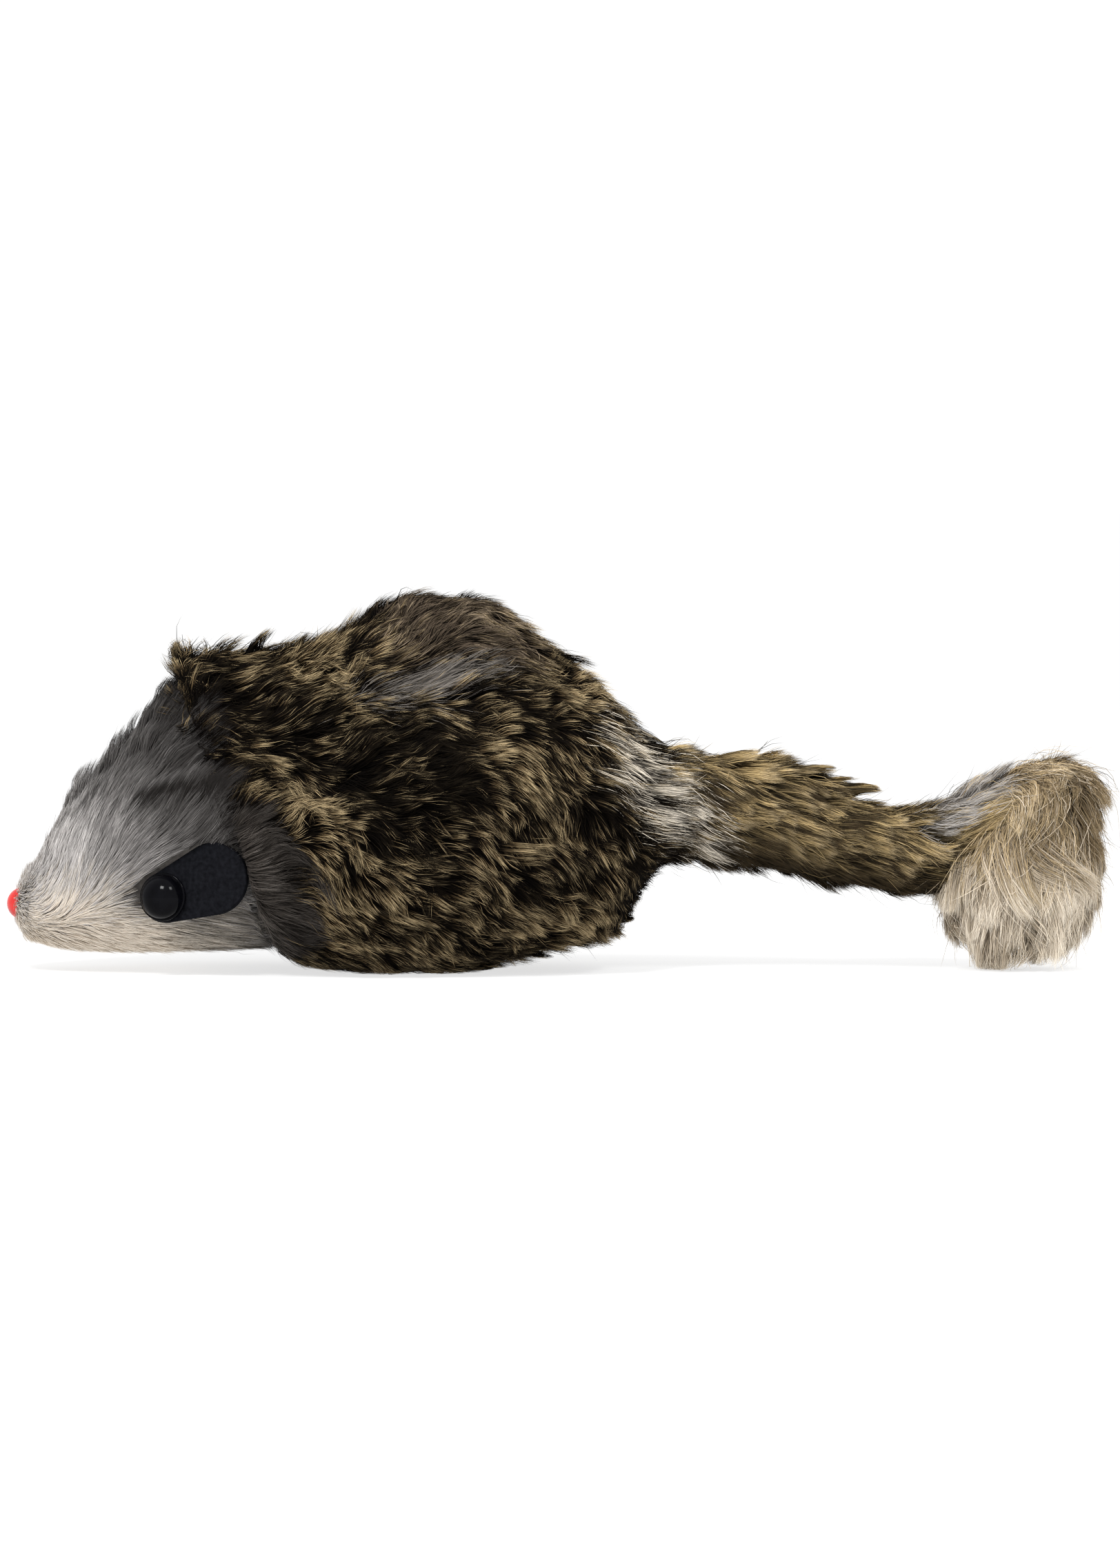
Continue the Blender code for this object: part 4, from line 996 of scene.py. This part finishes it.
def make_body(rng):
    """The body's long pile: agouti locks, brown over the hump, a grey parting on the left side, cream about the
    tail's root, and smoky grey behind the cheek."""
    wander = Drift(14 * MM, rng)
    eddy = Drift(5 * MM, rng)
    tone = Drift(9 * MM, rng)
    ragged = Drift(5 * MM, rng)

    def combed(lock_turn, front_turn):
        def comb(place, normal):
            x, z = place[:, 0] / MM, place[:, 2] / MM
            # Degrees below the level: level over the crest, steeper low on the flanks and towards the rump,
            # with a rise at the front of the hump and a swirl low behind the cheek.
            down = -4 + 40 * smooth(-z, -46, -22) * (0.35 + 0.65 * smooth(x, -16, 2))
            down = down + 16 * smooth(x, 14, 32)
            down += 22 * smooth(x, 22, 34) * smooth(z, 24, 36)
            down -= 60 * bump_at(x, -5, 8) * smooth(z, 52, 57) + 22 * bump_at(x, 12, 12) * bump_at(z, 42, 7)
            down = np.radians(down + 60 * bump_at(x, -13, 6) * bump_at(z, 15, 7))
            aim = np.stack([np.cos(down), np.zeros_like(x), -np.sin(down)], -1)
            # Behind the cheek it lies as the head's pile does.
            cheek = smooth(coat_edge(z) - x, 0, 6)
            aim = aim * (1 - cheek[:, None]) + head_comb(place) * cheek[:, None]
            # The crest's front edge stands up over the brow, each lock its own way.
            front = smooth(-x, 31, 37) * smooth(z, 31, 37)
            aim = aim * (1 - front[:, None]) + front[:, None] * np.array([-0.3, 0.0, 0.6])
            # In the parting it lies calm.
            calm = bump_at(x, 8, 11) * bump_at(z, 51, 3.5)
            aim = aim * (1 - calm[:, None]) + calm[:, None] * np.array([1.0, 0.0, 0.22])
            angle = 0.30 * wander(place) + 0.34 * eddy(place) + lock_turn
            angle = angle * (1 - 0.6 * cheek) * (1 - 0.8 * calm)
            return turned_about(aim, normal, angle + 0.9 * front * front_turn)

        return comb

    def brow_edge(place, _normal):
        x, _, z = (place / MM).T
        start = np.interp(z, (32, 34, 36, 39, 52), (-24, -31, -34, -36, -37))
        return smooth(x - start, -0.5, 0.5) * smooth(z, 32, 34) * smooth(-x, 24, 27)

    count = BODY_HAIRS + CREST_HAIRS
    s, a = body_form.scatter(BODY_HAIRS, rng)
    head_s, head_a = head_form.scatter(CREST_HAIRS, rng, density=brow_edge, high=HEAD_END)
    place = np.concatenate((body_form.at(s, a)[0], head_form.at(head_s, head_a)[0]))
    of_head = np.arange(count) >= BODY_HAIRS
    x, y, z = (place / MM).T
    hump = smooth(z, 51, 57) * smooth(x, -9, -3) * (1 - smooth(x, 18, 24))
    parting = bump_at(x, 3.0, 9) * bump_at(z, 50.6 + (x - 4) * 0.2, 2.2) * (y < 0)
    front = smooth(coat_edge(z) - x, 0, 5)
    curls = smooth(-x, 29, 35) * smooth(z, 31, 37)
    crest = smooth(-x, 6, 20) * smooth(z, 46, 54)
    ruff = smooth(x, 22, 32) * (1 - smooth(z, 22, 30)) + smooth(x, 24, 34) * smooth(z, 40, 46)
    # Three hairs in ten lie low and loose, and fill the gaps between the locks.
    # They get the darkest colour, partly as the fur's dark underfur and partly as painted shade that stands in
    # for the deep gaps.
    under = rng.random(count) < 0.30
    large = owners(place, 3.2 * MM, rng)
    small = owners(place, 0.95 * MM, rng)
    lock = rng.random(count)
    lock_turn = 0.26 * rng.normal(size=count)[large] + 0.14 * rng.normal(size=count)[small]
    front_turn = rng.normal(size=count)[large]
    length = 7.4 + 2.8 * (rng.random(count) - 0.5)
    length = length * (1 - 0.2 * hump) * (1 - 0.15 * front) * (1 - 0.2 * curls) * MM
    depth = (3.0 + 0.5 * rng.random(count)) * (1 - 0.2 * hump) * (1 - 0.5 * front)
    depth = depth * np.where(of_head, 0.5, 1.0) * MM
    lift = (-0.9 + 1.0 * rng.random(count) ** 1.3) * (1 - 0.5 * front) * MM
    proud = lock[large] ** 2 * 1.1 + (crest + 0.5 * ruff) * rng.random(count) ** 3 * 1.6
    lift += proud * (1 - front) * (1 - 0.5 * hump) * MM
    high = smooth(z, 46, 51)
    lift += (ruff * 0.4 + curls * (2.0 - 1.8 * high)) * lock[large] * MM
    lift += 1.6 * bump_at(x, -22, 6) * smooth(z, 50, 54) * rng.random(count) * MM
    lift = np.where(under, -1.2 * MM, lift)
    spread = []
    for form, at_s, at_a, own in ((body_form, s, a, ~of_head), (head_form, head_s, head_a, of_head)):
        comb = combed(lock_turn[own], front_turn[own])
        spread.append(lying(form, at_s, at_a, comb, length[own], depth[own], lift[own], 4, arch=1.45))
    points, facing = (np.concatenate(pair) for pair in zip(*spread))
    # About the tail the pile leaves the body and lies back over the tail's root.
    t = np.linspace(0, 1, 5)
    radial = np.stack([0 * y, y, z - TAIL_ROOT_HEIGHT], -1)
    out = np.linalg.norm(radial, axis=-1)
    radial = radial / out[:, None]
    rear = smooth(x, 35, 40) * (1 - smooth(out, 14, 21))
    start = out - depth / MM
    reach = np.minimum(8.7 + 1.5 * rng.random(count), np.maximum(out, 8.7))
    swept = start[:, None] + (reach - start)[:, None] * (1 - (1 - t) ** 1.8)
    trail = np.maximum(length, 8 * MM) * (1 - 0.5 * smooth(-z, -22, -15))
    back = place[:, None] + np.array([1.0, 0, -0.10]) * (t[None, :, None] * trail[:, None, None])
    back += radial[:, None] * ((swept - out[:, None]) * MM)[..., None]
    points = points + (back - points) * rear[:, None, None]
    pile = Pile(points, facing, BODY_HAIR * (1 - 0.2 * front), 0.5, AGOUTI)

    lock_tone = rng.random(count)
    loose = (1 - 0.6 * parting) * (1 - 0.6 * front) * ~under
    wild = (0.9 + 1.2 * curls * (1 - high)) * (1 - 0.4 * curls * high)
    curl(pile, large, wild[:, None, None] * MM * loose[:, None, None], rng)
    clump(pile, large, (0.34 + 0.15 * ruff) * loose, tightness=0.40, start=0.1)
    clump(pile, small, 0.62 * loose, tightness=0.20)
    stray = rng.random(count) < 0.02
    frizz(pile, np.where(stray, 1.0, 0.26) * MM * (1 + 0.5 * crest), rng)

    # A hair's kind follows where its tip lies, because the tips are what shows.
    tip_x, _, tip_z = (pile.points[:, -1] / MM).T
    shade = 0.42 * lock_tone[small] + 0.18 * lock_tone[large] + 0.40 * rng.random(count)
    shade += 0.15 * tone(place)
    shade += 0.14 * bump_at(tip_x, 38, 9) * bump_at(tip_z, 46, 10) + 0.09 * bump_at(tip_x, -12, 8)
    # The first term here is painted light: the low flank, which faces down, is made lighter.
    shade += 0.14 * bump_at(tip_z, 7, 6) + 0.06 * smooth(-tip_x, 18, 26) * smooth(tip_z, 40, 46)
    shade -= 0.10 * bump_at(tip_x, 24, 9) * bump_at(tip_z, 33, 8)
    shade -= 0.10 * bump_at(tip_z, 44, 5) * bump_at(tip_x, -14, 11)
    shade += 0.10 * of_head + 0.06 * smooth(tip_x, 16, 26) * smooth(tip_z, 10, 20)
    shade = smooth(shade, 0.47, 0.92)
    # Painted shade: the pile darkens at the very bottom of the body. The low loose hairs get the darkest
    # colour, partly as underfur and partly as painted shade.
    shade = shade * (1 - 0.3 * smooth(-z, -5, -1)) * (1 - under)
    # Each coat grows where the photograph shows it, and mixes into the next one at its edges.
    coat = np.full(count, AGOUTI)
    coat[rng.random(count) < hump * 0.62] = BROWN
    coat[rng.random(count) < parting * 1.2] = SLATE
    shade[coat == SLATE] = 0.10 + 0.6 * rng.random((coat == SLATE).sum())
    patch = bump_at(tip_z, 31 - (tip_x - 46) * 0.9, 6.5) * smooth(tip_x, 35, 43)
    patch *= 0.25 + 0.75 * (lock_tone[large] > 0.4)
    cream = rng.random(count) < patch * 1.1
    coat[cream] = CREAM
    pale = 0.6 * lock_tone[small] + 0.4 * rng.random(count) > 0.44
    shade[cream] = np.where(pale, 0.88 + 0.12 * rng.random(count), 0.2 * rng.random(count))[cream]
    ahead = coat_edge(tip_z) + 2.0 * ragged(place) + 2.4 * (lock[large] - 0.5) - tip_x
    smoke = ahead > rng.normal(size=count) * 0.9
    coat[smoke] = SMOKE
    # The cheek's end is grey low down, and darkens upwards and back.
    grey = np.interp(tip_z, (4, 14, 22, 30), (0.95, 0.70, 0.35, 0.20))
    grey *= 1 - 0.75 * smooth(tip_x, -25, -15)
    grey += 0.35 * bump_at(tip_x, -28, 5) * bump_at(tip_z, 17, 7)
    grey = grey * (0.25 + 0.8 * lock_tone[small] + 0.8 * rng.random(count))
    shade[smoke] = (grey + 0.05 * eddy(place))[smoke]
    pile.shade, pile.coat = shade, coat

    head_tree = bvh_of(head_form)
    within_tail = (x > 42) & (out < 8)
    pile = pile.only(((depth_in(head_tree, pile.points[:, 0]) < 3.0 * MM) | of_head) & ~within_tail)
    for stray_lock in BODY_LOCKS:
        draw_out(pile, *stray_lock)
    for side in (-1, 1):
        pile = press_ears(pile, side)

    material = fur_material("long pile", BODY_COATS, gloss=0.018)
    dark, light = (0.002, 0.0016, 0.0013), (0.005, 0.004, 0.003)
    backing = textured("long pile backing", dark, light, 400.0, 0.95, 0.5, gloss=0.02)
    made = [pelt("body_pelt", body_form, BODY_PELT_DEPTH, 96, 84, backing, 0.7)]
    for word, part in in_lengths(pile, ("front", "shoulder", "flank", "rump")):
        made.append(hair_object(f"body_pile_{word}", part, len(BODY_COATS), material, rng))
    for obj in made:
        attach(obj, "core")
        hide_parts("body_fur")


def fold_line(x):
    """The height of the fold in the head's pile, which bends at one place along the toy. In millimetres."""
    return 31.6 + (x + 43.2) * np.where(x > -43.2, 0.22, 1.0)


def make_head(rng):
    """The head's short pile, with a fold over the cheek and a collar about the nose."""
    wander = Drift(12 * MM, rng)
    fine = Drift(3.5 * MM, rng)
    speck = Drift(1.6 * MM, rng)
    nose_at = np.array(NOSE_AT)

    def comb(place, normal):
        aim = head_comb(place)
        # About the nose the pile lies away from the bead on all sides.
        away = place - nose_at
        close = 1 - smooth(np.linalg.norm(away, axis=-1, keepdims=True), 5 * MM, 15 * MM)
        aim = aim * (1 - close) + unit(away) * close
        return turned_about(aim, normal, 0.14 * wander(place) + 0.10 * fine(place))

    def denser(place, _normal):
        return 1 + 4 * (1 - smooth(np.linalg.norm(place - nose_at, axis=-1), 3 * MM, 8 * MM))

    count = HEAD_HAIRS
    s, a = head_form.scatter(count, rng, density=denser, high=HEAD_END)
    place, normal, _, _ = head_form.at(s, a)
    x, y, z = (place / MM).T
    body_tree = bvh_of(body_form)
    body_depth = depth_in(body_tree, place)
    seam = smooth(body_depth, -9 * MM, -1 * MM) * (1 - smooth(z, 26, 31))
    back = smooth(x, -50, -34)
    snout = 1 - smooth(np.linalg.norm(place - nose_at, axis=-1), 4 * MM, 12 * MM)
    length = (4.6 + 1.8 * rng.random(count) + 2.2 * back + 4.0 * seam) * (1 - 0.45 * snout) * MM
    depth = (1.5 + 0.3 * rng.random(count)) * (1 - 0.5 * snout) * MM
    # A fold in the short pile runs back over the cheek to the crest.
    fold = bump_at(z, fold_line(x), 0.8 + 0.6 * smooth(x, -42, -34)) * smooth(x, -47, -42)
    fold = np.clip(fold * smooth(-x, 28, 31) * smooth(np.abs(y), 4, 9), 0, 1)
    lift = (-0.45 + 0.6 * rng.random(count)) * MM - 1.3 * fold * MM
    lift += 0.9 * smooth(-normal[:, 2], 0.2, 0.7) * rng.random(count) ** 2 * MM
    # About the nose it stands up as a collar that hides half of the bead.
    collar = (1 - smooth(np.hypot(y, z - NOSE_AT[2] / MM), 3.2, 5.4)) * smooth(-x, 54, 59)
    lift += collar * (0.2 + 1.2 * rng.random(count)) * MM
    # Under the crest it stands up to meet it.
    lift += 2.6 * smooth(x, -49, -42) * smooth(z, 33, 42) * rng.random(count) ** 0.7 * MM
    # Over the brow some small locks stand proud.
    tuft = owners(place, 1.8 * MM, rng)
    lift += 2.4 * rng.random(count)[tuft] ** 5 * smooth(normal[:, 2], 0.1, 0.6) * smooth(z, 22, 30) * MM
    points, facing = lying(head_form, s, a, comb, length, depth, lift, 3)
    # Where the hairs reach the body they lie over its front edge.
    meeting = np.where(seam > 0)[0]
    for step in (1, 2, 3):
        for number in meeting.tolist():
            near, outward, _, _ = body_tree.find_nearest(points[number, step].tolist())
            rise = 0.5 * MM - (Vector(points[number, step]) - near).dot(outward)
            if 0 < rise < 3 * MM:
                points[number, step] += np.array(outward) * rise
    pile = Pile(points, facing, HEAD_HAIR, 0.5, GREY)

    # The pile darkens from the snout up over the brow and back to the body.
    seen = (points[:, 2] * 0.4 + points[:, 3] * 0.6) / MM
    sx, sz = seen[:, 0], seen[:, 2]
    away = (sx + 64) + 0.9 * sz
    distances = (14, 28, 38, 48, 58, 67, 76)
    light = np.interp(away, distances, (-0.50, -0.90, -1.50, -2.35, -2.85, -3.4, -3.9))
    light -= 1.2 * smooth(sx, -31, -22) * smooth(sz, 16, 24) + 0.8 * smooth(sx, -24, -16)
    # Painted shade under the ear: the pile beneath it is darkened.
    light -= 0.45 * smooth(sx, -40, -28) * (1 - smooth(sz, 9, 15))
    light += 0.5 * bump_at(sx, -26, 4) * bump_at(sz, 17, 6)
    # Painted shade darkens the pile along the fold, and a painted shadow lies just below its front part.
    crease = bump_at(sz, fold_line(sx), 0.45 + 0.4 * smooth(sx, -42, -34))
    crease = crease * smooth(sx, -46, -42) * smooth(-sx, 27, 30)
    shadow = 0.35 * bump_at(sz, fold_line(sx) - 2.0, 2.0) * smooth(sx, -46, -41) * smooth(-sx, 33, 37)
    light -= 3.8 * crease + shadow
    light += 0.7 * bump_at(sz, 8.5, 6) * smooth(sx, -34, -28) * smooth(-sx, 15, 21)
    small = owners(place, 0.7 * MM, rng)
    lock_tone = rng.normal(size=count)
    spread = 0.18 * lock_tone[small] + 0.26 * rng.normal(size=count)
    spread = spread + 0.15 * fine(place) + 0.12 * speck(place)
    albedo = np.exp(light + spread * (0.3 + 0.7 * smooth(away, 16, 44)))
    milky = smooth(-z, -18, -6) * smooth(-x, 22, 36)
    # Painted light: the pile low under the chin is made lighter, against the shade of the underside.
    albedo *= 1 + 1.2 * smooth(-z, -14, -5) * smooth(-x, 26, 44)
    coat = np.where(rng.random(count) < milky, MILK, GREY)
    pile.shade = np.where(coat == MILK, (albedo - 0.025) / 0.74, (albedo - 0.010) / 0.54)
    pile.coat = coat
    clump(pile, small, 0.40, tightness=0.35)
    frizz(pile, np.where(rng.random(count) < 0.03, 0.6, 0.12) * MM, rng)
    pile = pile.only(body_depth < np.where(z > 30, -0.3, 1.5) * MM)
    for side in (-1, 1):
        pile = press_ears(pile, side)

    material = fur_material("short pile", HEAD_COATS, roughness=0.7)
    dark, light = (0.05, 0.045, 0.042), (0.12, 0.11, 0.10)
    backing = textured("short pile backing", dark, light, 500.0, 0.95, 0.4, gloss=0.05)
    made = [pelt("head_pelt", head_form, HEAD_PELT_DEPTH, 70, 64, backing, 0.8, high=HEAD_END)]
    for word, part in in_lengths(pile, ("snout", "brow", "cheek")):
        made.append(hair_object(f"head_pile_{word}", part, len(HEAD_COATS), material, rng, softness=0.75))
    for obj in made:
        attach(obj, "core")
        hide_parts("head_fur")


# A part of the tail: its name, CAD node and two bodies, then, in millimetres, where along the toy it starts
# and ends, and its joint's place.
TAIL_PARTS = (
    ("root", "tail_root_fur", ("core", "tail_root"), 30.0, 58.7, 50.3, 28.3),
    ("middle", "tail_mid_fur", ("tail_root", "tail_middle"), 58.7, 77.2, 68.1, 26.3),
    ("end", "tail_end_fur", ("tail_middle", "tail_tip"), 77.2, 120.0, 87.3, 20.9),
)


def tail_pelt_depth(places):
    return (3.2 - 0.9 * smooth(places[:, 0] / MM, 96, 110)) * MM


def make_tail(rng):
    """The tail's pile in three parts along its length."""
    wander = Drift(12 * MM, rng)
    eddy = Drift(5 * MM, rng)
    tone = Drift(8 * MM, rng)

    def comb(place, normal):
        x = place[:, 0] / MM
        aim = np.zeros_like(place)
        aim[:, 0] = 1.0
        aim[:, 2] = -0.30 + 0.2 * smooth(x, 84, 92) + 0.55 * smooth(x, 90, 98)
        return turned_about(aim, normal, 0.24 * wander(place) + 0.16 * eddy(place))

    count = TAIL_HAIRS
    s, a = tail_form.scatter(count, rng, low=1.6)
    place = tail_form.at(s, a)[0]
    x, _, z = (place / MM).T
    centre = np.interp(x, [ring[0] for ring in TAIL_RINGS], [ring[1] for ring in TAIL_RINGS])
    above = (z - centre) / 9
    own = rng.random(count)
    length = (8.4 + 2.6 * (own - 0.5)) * MM
    depth = (3.1 - 0.9 * smooth(x, 96, 110) + 0.4 * rng.random(count)) * MM
    large = owners(place, 3.4 * MM, rng)
    lock = rng.random(count)
    # Locks stand proud along the top, and the pile lies lower at the tail's root and before its last bend.
    lift = -0.9 + 1.3 * rng.random(count) ** 1.5 + 1.3 * lock[large] ** 2
    lift = (lift + 0.8 * smooth(above, 0.3, 0.9) * (x < 84)) * MM
    lift += 1.2 * bump_at(x, 58, 6) * smooth(above, 0.2, 0.8) * rng.random(count) * MM
    lift -= (1.6 * bump_at(x, 80, 8) + 1.0 * bump_at(x, 46, 5)) * smooth(above, 0.2, 0.8) * MM
    points, facing = lying(tail_form, s, a, comb, length, depth, lift, 4, arch=1.5)
    pile = Pile(points, facing, TAIL_HAIR, 0.5, GOLD)
    small = owners(place, 0.95 * MM, rng)
    lock_tone = rng.random(count)
    shade = 0.54 * lock_tone[small] + 0.22 * lock_tone[large] + 0.24 * rng.random(count)
    shade = smooth(shade + 0.14 * tone(place), 0.34, 0.84)
    # The pile is dark below, and darker still under the root.
    under = smooth(-above, 0.25, 0.85)
    shade *= 1 - 0.92 * under
    shade *= 1 - 0.35 * smooth(-above, -0.1, 0.5)
    dark_root = bump_at(x, 55, 5) * smooth(-above, -0.5, 0.3)
    shade *= 1 - 0.6 * dark_root
    coat = np.full(count, GOLD)
    tip_x, _, tip_z = (pile.points[:, -1] / MM).T
    cream = bump_at(tip_z, 31 - (tip_x - 46) * 0.9, 6.0) * (1 - smooth(tip_x, 53, 60))
    cream *= 0.25 + 0.75 * (lock_tone[large] > 0.35)
    coat[rng.random(count) < cream * 1.2] = TAIL_CREAM
    # Along the top of the last bend it is dusky grey.
    slate = smooth(x, 82, 90) * smooth(above, 0.30, 0.70) * smooth(-x, -106, -98)
    coat[rng.random(count) < slate * 0.85] = DUSK
    bright = 0.6 * lock_tone[small] + 0.4 * rng.random(count) > 0.42
    pale = np.where(bright, 0.88 + 0.12 * rng.random(count), 0.2 * rng.random(count))
    shade += 0.10 * smooth(x, 82, 92) * smooth(above, -0.3, 0.3)
    shade = np.where(coat == DUSK, 0.50 + 0.50 * lock_tone[small], shade)
    pile.shade = np.where(coat == TAIL_CREAM, pale, shade)
    pile.coat = coat
    curl(pile, large, 0.9 * MM, rng)
    clump(pile, large, 0.42, tightness=0.42, start=0.1)
    clump(pile, small, 0.60, tightness=0.22)
    frizz(pile, np.where(rng.random(count) < 0.05, 1.3, 0.25) * MM, rng)
    for stray_lock in TAIL_LOCKS:
        draw_out(pile, *stray_lock)

    material = fur_material("tail pile", TAIL_COATS)
    dark, light = (0.008, 0.006, 0.004), (0.020, 0.015, 0.009)
    backing = textured("tail pile backing", dark, light, 400.0, 0.95, 0.5, gloss=0.05)
    rows = np.linspace(1.2, tail_form.last, 400)
    middle_x = tail_form.at(rows, np.zeros_like(rows))[0][:, 0] / MM
    for word, node, bodies, low, high, joint_x, joint_z in TAIL_PARTS:
        part = pile.only((pile.points[:, 0, 0] >= low * MM) & (pile.points[:, 0, 0] < high * MM))
        within = rows[(middle_x >= low - 0.6) & (middle_x <= high + 0.6)]
        span = {"low": within[0], "high": within[-1]}
        made = [pelt(f"tail_{word}_pelt", tail_form, tail_pelt_depth, 30, 40, backing, 0.7, **span)]
        for side, hairs in in_lengths(part, ("side",)):
            made.append(hair_object(f"tail_{word}_pile_{side}", hairs, len(TAIL_COATS), material, rng))
        for obj in made:
            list(bodies)
            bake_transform(obj)
            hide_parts(node)


def make_tuft(rng):
    """The long pale hair that hangs from the tail's tip."""
    wander = Drift(9 * MM, rng)
    tone = Drift(6 * MM, rng)

    def comb(place, normal):
        x, y, z = place[:, 0] / MM, place[:, 1] / MM, place[:, 2] / MM
        high = smooth(z, 27, 34)
        flare = 0.2 + 1.2 * bump_at(z, 16, 7)
        aim = np.stack([0.05 * (x - 105.5) * flare + 0.75 * high, 0.05 * y, -1 + 0.85 * high], -1)
        return turned_about(aim, normal, 0.20 * wander(place) + lock_turn)

    def fuller(place, _normal):
        return 0.12 + smooth(place[:, 2] / MM, 3, 16)

    count = TUFT_HAIRS
    layers = rng.random(count)
    s, a = tuft_form.scatter(count, rng, density=fuller, low=0.6, high=7.2)
    place = tuft_form.at(s, a)[0]
    x, _, z = (place / MM).T
    large = owners(place, 4.8 * MM, rng)
    small = owners(place, 1.2 * MM, rng)
    lock = rng.random(count)
    lock_turn = 0.40 * rng.normal(size=count)[large] + 0.14 * rng.normal(size=count)[small]
    # No hair is longer than its way down to the floor.
    room = z + 1.5
    length = np.minimum(room * (0.60 + 0.50 * rng.random(count)), 8 + 8 * rng.random(count)) * MM
    length = np.maximum(length * (0.75 + 0.5 * lock[large]), 4.5 * MM)
    length = np.where(z > 30, (6 + 3 * rng.random(count)) * MM, length)
    depth = (2.6 + 2.2 * layers) * MM
    proud = 2.4 * lock[large] ** 2 * (1 - 0.8 * smooth(z, 24, 30))
    lift = (-2.6 * layers + 0.9 * rng.random(count) ** 2 + proud) * MM
    lift -= 1.2 * smooth(z, 26, 31) * smooth(-x, -108, -100) * MM
    low_front = smooth(-z, -12, -5) * smooth(-x, -100, -95)
    lift -= 2.4 * (low_front + smooth(-z, -13, -6) * smooth(x, 112, 117)) * MM
    points, facing = lying(tuft_form, s, a, comb, length, depth, lift, 6)
    pile = Pile(points, facing, TAIL_HAIR, 0.5, PALE)
    lock_tone = rng.random(count)
    shade = 0.36 * lock_tone[small] + 0.20 * lock_tone[large] + 0.44 * rng.random(count)
    shade = shade + 0.12 * tone(place)
    low = smooth(-pile.points[:, -1, 2] / MM, -16, -3)
    pile.shade = smooth(shade, 0.10, 0.86) * (0.74 + 0.26 * low) + 0.14 * low
    coat = np.full(count, PALE)
    coat[rng.random(count) < smooth(z, 22, 28) * 0.85] = HAZEL
    pile.coat = coat
    dusk = (coat == HAZEL) & (x > 108) & (rng.random(count) < smooth(x, 107, 114) * smooth(z, 24, 30))
    pile.shade[dusk] *= 0.35
    curl(pile, large, 2.2 * MM, rng)
    clump(pile, large, 0.58, tightness=0.36, start=0.15)
    clump(pile, small, 0.58, tightness=0.22)
    frizz(pile, np.where(rng.random(count) < 0.10, 1.8, 0.40) * MM, rng)
    for stray_lock in TUFT_LOCKS:
        draw_out(pile, *stray_lock, strength=0.85)

    material = fur_material("tuft pile", TUFT_COATS)
    backing = textured("tuft backing", (0.26, 0.22, 0.17), (0.48, 0.42, 0.34), 350.0, 0.95, 0.5, gloss=0.05)
    made = [pelt("tail_tuft_core", tuft_form, TUFT_PELT_DEPTH, 44, 40, backing, 0.4, high=6.6)]
    for word, part in in_lengths(pile, ("front", "rear")):
        made.append(hair_object(f"tail_tuft_pile_{word}", part, len(TUFT_COATS), material, rng))
    for obj in made:
        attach(obj, "tail_tip")
        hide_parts("tail_tuft")


def make_wad(rng):
    """The loose fibre between the shell and the pelt: a lumpy pad that rests on the shell's back."""
    bpy.context.view_layer.update()
    graph = bpy.context.evaluated_depsgraph_get()
    trees = [BVHTree.FromObject(frame["nodes"][name], graph) for name in ("shell_left", "shell_right")]
    lumps = Drift(5 * MM, rng)
    shape = form_shape(wad_form, 0.4 * MM, 60, 56, rough=lambda p: 0.35 * MM * lumps(p))
    for vert in shape.verts:
        for tree in trees:
            hit = tree.ray_cast(Vector((vert.co.x, vert.co.y, 90 * MM)), Vector((0, 0, -1)))[0]
            if hit is not None:
                vert.co.z = max(vert.co.z, hit.z + 0.4 * MM)
    bmesh.ops.remove_doubles(shape, verts=shape.verts, dist=0.02 * MM)
    fibre = textured("wad fibre", (0.70, 0.68, 0.64), (0.88, 0.87, 0.84), 900.0, 0.95, 0.8, gloss=0.1)
    wad = mesh_piece("back_wad_pad", shape, fibre)
    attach(wad, "core")
    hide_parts("back_wad")


def moulded(name, dark, light, scale, roughness, bump, height, spread, gloss=0.5):
    """A plastic with a fine grain, whose height is in millimetres."""
    return textured(name, dark, light, scale, roughness, bump, height * MM, spread, gloss, edge=0.35)


def dress_inner_pieces():
    """The shell's halves, the rattle beads and the tail's plug keep their CAD shapes."""
    nodes = frame["nodes"]
    shell = moulded("moulded shell", (0.55, 0.53, 0.48), (0.64, 0.62, 0.57), 260.0, 0.42, 0.15, 0.05, 0.1)
    give(shell, nodes["shell_left"], nodes["shell_right"])
    bead = moulded("moulded bead", (0.66, 0.63, 0.54), (0.76, 0.74, 0.66), 500.0, 0.32, 0.1, 0.03, 0.08)
    give(bead, *(nodes[f"rattle_bead_{number}"] for number in (1, 2, 3)))
    plug = moulded("moulded plug", (0.45, 0.43, 0.39), (0.53, 0.51, 0.47), 320.0, 0.5, 0.15, 0.05, 0.1)
    give(plug, nodes["tail_plug"])


def write_sizes():
    low, high = cad_bounds
    now_low, now_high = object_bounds()
    boxes = [[float(value) for value in corner] for corner in (low, high, now_low, now_high)]


add_camera()
add_studio()
dress_inner_pieces()
foam_dark, foam_light = (0.0030, 0.0031, 0.0040), (0.0075, 0.0078, 0.0098)
foam = textured("foam", foam_dark, foam_light, 1500.0, 0.86, 0.35, 0.05 * MM, 0.08, 0.02)
eye_dark, eye_light = (0.001, 0.001, 0.0015), (0.0025, 0.0025, 0.0035)
eye_plastic = moulded("eye plastic", eye_dark, eye_light, 420.0, 0.12, 0.05, 0.02, 0.03, gloss=0.055)
nose_dark, nose_light = (0.46, 0.008, 0.006), (0.58, 0.014, 0.010)
nose_plastic = moulded("nose plastic", nose_dark, nose_light, 420.0, 0.24, 0.04, 0.02, 0.05)
for ear_word, ear_side in (("left", -1), ("right", 1)):
    make_ear(ear_word, ear_side, foam)
    make_eye(ear_word, ear_side, eye_plastic)
make_nose(nose_plastic)
make_wad(np.random.default_rng(11))
make_body(np.random.default_rng(12))
make_head(np.random.default_rng(13))
make_tail(np.random.default_rng(14))
make_tuft(np.random.default_rng(15))
write_sizes()
